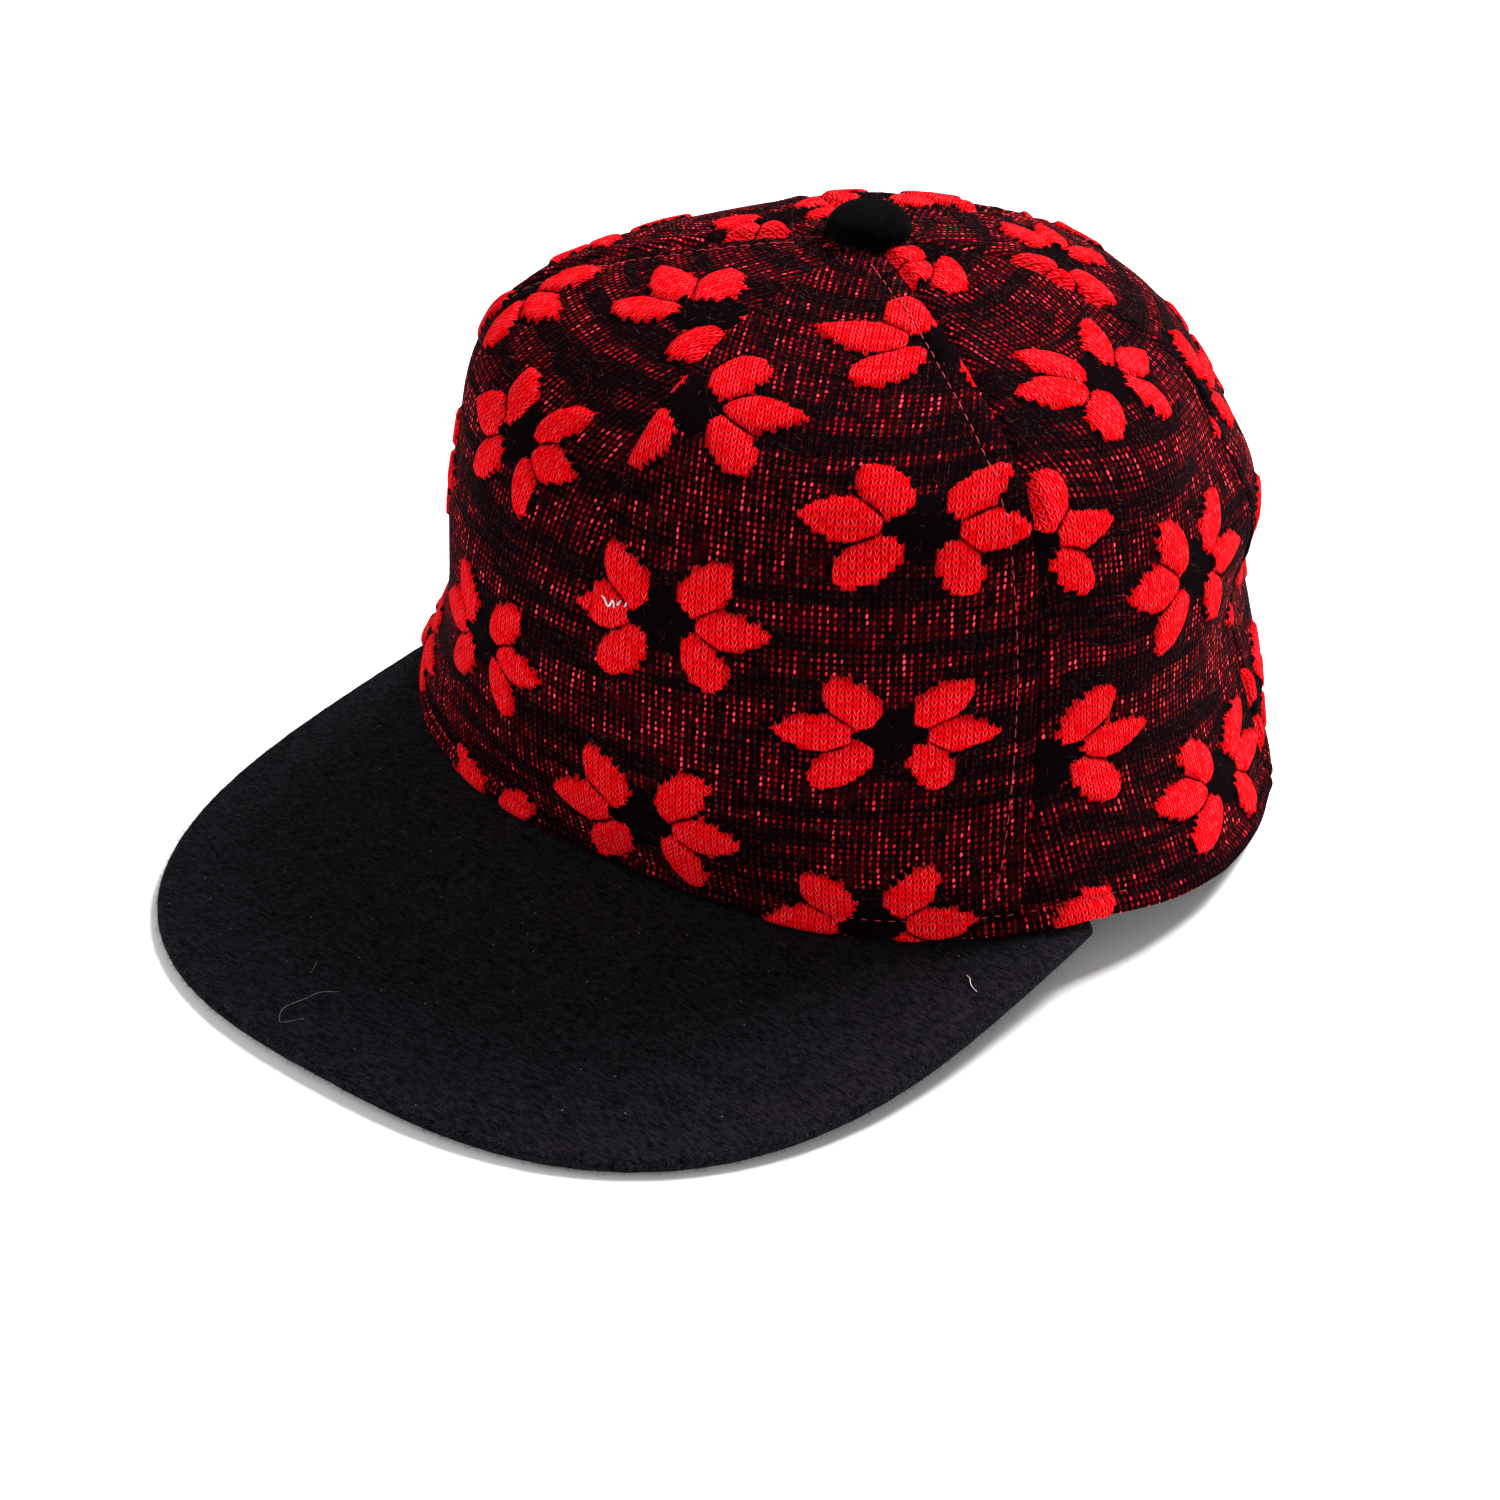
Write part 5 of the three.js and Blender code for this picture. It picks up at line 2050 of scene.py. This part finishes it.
@dataclass
class Button:
    """The felt-covered button on top, gathered under its rim."""

    shop: Workshop
    radius: float = 8.7
    height: float = 6.0
    shank_radius: float = 1.8
    shank_length: float = 4.0
    sides: int = 96
    dome_steps: int = 26
    dome_power: float = 0.8
    under_share: float = 0.95
    under_steps: int = 7
    flat_share: float = 0.6
    side_lump: float = 0.6
    lump_shift: float = 40.0
    rim_share: float = 0.2
    pleats: int = 11
    pleat_depth: float = 0.16
    pleat_sway: float = 1.3
    lump: float = 0.22
    lump_cell: float = 3.2

    def build(self) -> list[bpy.types.Object]:
        """Builds the button.

        Its profile turns about the axis: a shank, an underside out to the rim and a
        dome of radius r cos(t)^p whose height goes with sin(t). Pleats, a cosine of
        the turn that fades with height, and low lumps move it in and out.

        Returns:
            The dressed button.
        """
        form = self.shop.form
        collar = form.crown_height + form.gap
        angles = np.array([0.0, form.temple_angle, form.rear_side_angle, 180.0])
        stations = form.station_at_radius(angles, self.radius)
        heights = form.crown_height - form.hem_height(angles)
        falls = (1.0 - form.share_at(stations)) * heights
        rim = collar - max(falls.min() - form.gap, 0.0)
        rise = np.linspace(0.0, 0.5, self.dome_steps) * math.pi
        dome_radius = self.radius * np.cos(rise[:-1]) ** self.dome_power
        dome_height = rim + self.height * lerp(self.rim_share, 1.0, np.sin(rise[:-1]))
        under = np.linspace(
            self.shank_radius, self.radius * self.under_share, self.under_steps
        )
        under_height = lerp(collar, rim, (under - under[0]) / (under[-1] - under[0]))
        foot = collar - self.shank_length
        radius = np.concatenate([[self.shank_radius], under, dome_radius])
        height = np.concatenate([[foot], under_height, dome_height])
        turn = ring_turns(self.sides)
        grown = np.clip((height - rim) / self.height, 0.0, 1.0)[:, None]
        outside = (radius > self.radius * self.flat_share)[:, None]
        pleat = np.cos(self.pleats * turn + self.pleat_sway * np.sin(2.0 * turn))
        pleat = self.pleat_depth * pleat * (1.0 - grown) ** 3
        x = radius[:, None] * np.cos(turn)
        y = radius[:, None] * np.sin(turn) + self.lump_shift
        lumps = self.lump * soft_noise(x, y, self.lump_cell, 51)
        wide = radius[:, None] + (pleat + self.side_lump * lumps) * outside
        tall = height[:, None] + lumps * grown
        ring = np.stack([wide * np.cos(turn), wide * np.sin(turn), tall], -1)
        crown = np.array([[[0.0, 0.0, rim + self.height]]])
        body = Body()
        numbers = body.add_points(ring)
        top = body.add_points(crown)[0, 0]
        body.add_grid(np.concatenate([numbers, numbers[:, :1]], 1))
        body.add_faces(numbers[:1, ::-1])
        last, after = numbers[-1], np.roll(numbers[-1], -1)
        body.add_faces(np.stack([last, after, np.full_like(last, top)], -1))
        piece = body.build("button_felt", self.shop.axis)
        return [self.shop.finish_piece(piece, ["button_felt"], "felt", "top_button")]


@dataclass
class Strip:
    """A closed strip inside the crown's wall, with rounded long edges."""

    shop: Workshop
    name: str
    replaced: str
    finish: str
    slot: str
    from_angle: float
    to_angle: float
    height: float
    depth: float
    thickness: float
    columns: int = 300
    rows: int = 24
    wave: float = 0.12
    wave_cell: float = 22.0
    mean_reach: float = 90.0
    edge_share: float = 0.25
    wave_climb: float = 4.0

    def faces_at(
        self, share: np.ndarray, climb: np.ndarray, depth: np.ndarray
    ) -> np.ndarray:
        """Points of the strip at shares along and up it and depths under the wall."""
        form = self.shop.form
        top = form.station_at(np.array(self.height / form.crown_height))
        station = top * climb
        angle = lerp(self.from_angle, self.to_angle, share)
        return form.wall(angle, station) - form.outward(angle, station) * depth[..., None]

    def body(self) -> Body:
        """Builds the strip.

        Both faces are grids whose depth is drawn together at the long edges with a
        quarter round, and shallow waves move them together.

        Returns:
            The body of the strip.
        """
        share = np.linspace(0.0, 1.0, self.columns)[None, :]
        climb = 0.5 - 0.5 * np.cos(np.linspace(0.0, 1.0, self.rows) * math.pi)[:, None]
        share, climb = np.broadcast_arrays(share, climb)
        half = self.thickness / 2.0
        from_edge = np.minimum(climb, 1.0 - climb) * self.height / half
        full = np.sqrt(1.0 - (1.0 - np.minimum(from_edge, 1.0)) ** 2)
        thick = half * lerp(self.edge_share, 1.0, full)
        length = math.radians(self.to_angle - self.from_angle) * self.mean_reach
        waves = soft_noise(share * length, climb * self.height, self.wave_cell, 61)
        sway = self.wave * (1.0 + waves)
        risen = np.minimum(climb * self.wave_climb, 1.0)
        middle = self.depth + half + sway * full * risen
        body = Body()
        outer = body.add_points(self.faces_at(share, climb, middle - thick))
        inner = body.add_points(self.faces_at(share, climb, middle + thick))
        body.add_grid(outer)
        body.add_grid(inner, flip=True)
        for line in (np.s_[0], np.s_[:, -1]):
            body.add_grid(np.stack([inner[line], outer[line]]))
        for line in (np.s_[-1], np.s_[:, 0]):
            body.add_grid(np.stack([outer[line], inner[line]]))
        return body

    def build(self) -> list[bpy.types.Object]:
        """Builds and dresses the strip."""
        piece = self.body().build(self.name, self.shop.axis)
        return [self.shop.finish_piece(piece, [self.finish], self.slot, self.replaced)]


@dataclass
class SnapStrap(Strip):
    """The closing strap, with a row of low studs on its outer face."""

    stud_count: int = 9
    stud_radius: float = 2.0
    stud_rise: float = 0.8
    stud_pitch: float = 6.4
    stud_sides: int = 20
    stud_root: float = 0.1
    stud_radii: tuple = (1.0, 1.0, 0.95, 0.8, 0.5, 0.12)
    stud_rises: tuple = (-0.4, 0.55, 0.8, 0.95, 1.0, 1.02)

    def body(self) -> Body:
        """Adds the studs to the plain strip.

        A stud is a short turned form: its rings go out at the strap's face, up its
        side and in over a rounded top, round the direction out of the strap.

        Returns:
            The body of the strap.
        """
        body = super().body()
        form = self.shop.form
        count = self.stud_count
        offsets = (np.arange(count) - (count - 1) / 2.0) * self.stud_pitch
        angle = 180.0 + np.degrees(offsets / form.hem_back)
        station = form.station_at(np.full(count, self.height / 2.0 / form.crown_height))
        outward = form.outward(angle, station)
        centre = form.wall(angle, station) - outward * (self.depth + self.stud_root)
        side = unit(np.cross(outward, np.array([0.0, 0.0, 1.0])))
        upward = np.cross(side, outward)
        radius = self.stud_radius * np.array(self.stud_radii)
        rise = self.stud_rise * np.array(self.stud_rises)
        turn = ring_turns(self.stud_sides)[:, None]
        circle = np.cos(turn) * side[:, None, None] + np.sin(turn) * upward[:, None, None]
        points = centre[:, None, None] + radius[:, None, None] * circle
        body.add_rings(points + (rise[:, None] * outward[:, None])[:, :, None])
        return body


@dataclass
class Inside:
    """What sits inside the hem: the sweatband and the closing strap."""

    shop: Workshop
    inside_gap: float = 0.5
    band_height: float = 32.0
    band_thickness: float = 1.2
    strap_height: float = 20.0
    strap_thickness: float = 1.4
    strap_lap: float = 14.0

    def build(self) -> list[bpy.types.Object]:
        """Builds both strips."""
        form = self.shop.form
        half = math.degrees((form.arch_half_width + self.strap_lap) / form.hem_back)
        end = 180.0 - half - math.degrees(form.gap / form.hem_back)
        depth = form.cloth + self.inside_gap
        band = Strip(
            self.shop, "sweatband_twill", "sweatband", "band", "tape",
            -end, end, self.band_height, depth, self.band_thickness,
        )
        strap = SnapStrap(
            self.shop, "snap_strap_studs", "snap_strap", "strap", "strap",
            180.0 - half, 180.0 + half, self.strap_height, depth, self.strap_thickness,
            columns=90, rows=16, wave=0.0,
        )
        return band.build() + strap.build()


@dataclass
class Studio:
    """Floor, lights and camera, which aren't part of the cap."""

    target: tuple = (0.0131, -0.0166, 0.02884)
    azimuth: float = 40.47
    elevation: float = 30.84
    distance: float = 0.7683
    lens: float = 90.74
    sensor: float = 36.0
    floor_half: float = 4.0
    floor_lines: int = 9
    clip_start: float = 0.01
    world: float = 0.4
    lights: tuple = (
        ("rear_overhead", (0.15, 0.95, 1.1), 0.6, 56.0),
        ("front_fill", (0.95, -1.15, 0.36), 1.1, 10.8),
        ("side_fill", (-1.35, -0.6, 0.4), 1.0, 12.0),
    )

    def build(self, finish: bpy.types.Material) -> None:
        """Lays the floor, hangs the lights and sets the camera."""
        self.lay_floor(finish)
        for light in self.lights:
            self.hang_light(*light)
        self.light_world()
        self.set_camera()

    def lay_floor(self, finish: bpy.types.Material) -> None:
        """Lays the floor, a grid at height nil."""
        line = np.linspace(-self.floor_half, self.floor_half, self.floor_lines)
        x, y = np.meshgrid(line, line)
        body = Body()
        body.add_grid(body.add_points(np.stack([x, y, np.zeros_like(x)], -1) / METRE))
        floor = body.build("floor", np.zeros(3))
        floor.data.materials.append(finish)
        floor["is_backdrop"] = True

    def hang_light(self, name: str, place: tuple, size: float, power: float) -> None:
        """Hangs a square soft light that faces the cap."""
        lamp = bpy.data.lights.new(name, "AREA")
        lamp.size = size
        lamp.energy = power
        holder = bpy.data.objects.new(name, lamp)
        bpy.context.scene.collection.objects.link(holder)
        holder.location = place
        holder.rotation_euler = self.facing(np.array(self.target) - place)

    @staticmethod
    def facing(direction: np.ndarray) -> tuple:
        """Turn that points a camera or light along a direction."""
        x, y, z = direction
        return math.atan2(math.hypot(x, y), -z), 0.0, math.atan2(-x, y)

    def light_world(self) -> None:
        """Lights the surroundings an even white."""
        world = bpy.data.worlds.new("soft_white")
        world.use_nodes = True
        background = world.node_tree.nodes["Background"]
        background.inputs["Color"].default_value = (1.0, 1.0, 1.0, 1.0)
        background.inputs["Strength"].default_value = self.world
        bpy.context.scene.world = world

    def set_camera(self) -> None:
        """Sets the camera at the photograph's angle."""
        azimuth, elevation = math.radians(self.azimuth), math.radians(self.elevation)
        back = np.array([
            math.sin(azimuth) * math.cos(elevation),
            -math.cos(azimuth) * math.cos(elevation),
            math.sin(elevation),
        ])
        camera = bpy.data.cameras.new("camera")
        camera.lens = self.lens
        camera.sensor_width = self.sensor
        camera.clip_start = self.clip_start
        holder = bpy.data.objects.new("camera", camera)
        bpy.context.scene.collection.objects.link(holder)
        holder.location = np.array(self.target) + back * self.distance
        holder.rotation_euler = self.facing(-back)
        bpy.context.scene.camera = holder
        bpy.context.scene.view_settings.view_transform = "Standard"


def make_finishes(knit: Knit) -> dict[str, bpy.types.Material]:
    """Makes every finish once.

    Args:
        knit: The knit's gauge.

    Returns:
        The materials by the names that the pieces ask for.
    """
    button = ((0.0003, 0.0002, 0.0003, 1.0), (0.0022, 0.0016, 0.0023, 1.0))
    threads = {
        "red_thread": ((0.5, 0.035, 0.045, 1.0), (0.2, 0.005, 0.01, 1.0)),
        "dark_red_thread": ((0.5, 0.03, 0.04, 1.0), (0.14, 0.002, 0.005, 1.0)),
        "felt_fibre": ((0.03, 0.028, 0.034, 1.0), (0.006, 0.005, 0.007, 1.0)),
        "knit_fibre": ((0.16, 0.006, 0.012, 1.0), (0.01, 0.003, 0.004, 1.0)),
        "pale_lint": ((0.75, 0.72, 0.74, 1.0), (0.4, 0.36, 0.38, 1.0)),
    }
    made = {
        "knit": KnitFinish(knit),
        "lining": WovenFinish(
            "lining_cloth", (0.004, 0.003, 0.004, 1.0), (0.02, 0.016, 0.018, 1.0)
        ),
        "felt": FeltFinish(),
        "button_felt": FeltFinish("button_felt", *button),
        "band": WovenFinish(
            "sweatband_cloth", (0.006, 0.006, 0.007, 1.0), (0.03, 0.03, 0.032, 1.0)
        ),
        "strap": StrapFinish(),
    }
    made |= {name: ThreadFinish(name, *colours) for name, colours in threads.items()}
    return {name: finish.material() for name, finish in made.items()}


def main() -> None:
    """Builds the cap's pieces, then the studio, and measures both sizes."""
    logging.basicConfig(level=logging.INFO, format="%(name)s %(message)s")
    low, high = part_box("top_button")
    axis = np.array([(low.x + high.x) / 2.0, (low.y + high.y) / 2.0, 0.0])
    knit = Knit()
    shop = Workshop(CapForm(), knit, axis, make_finishes(knit))
    for assembly in (Crown(shop), Brim(shop), Button(shop), Inside(shop)):
        pieces = assembly.build()
        LOG.info("%s: %d pieces", type(assembly).__name__, len(pieces))
    Studio().build(FloorFinish().material())
    sizes = {
        "cad": [list(corner) for corner in CAD_BOX],
        "visual": [list(corner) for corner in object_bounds()],
    }


if __name__ == "__main__":
    main()
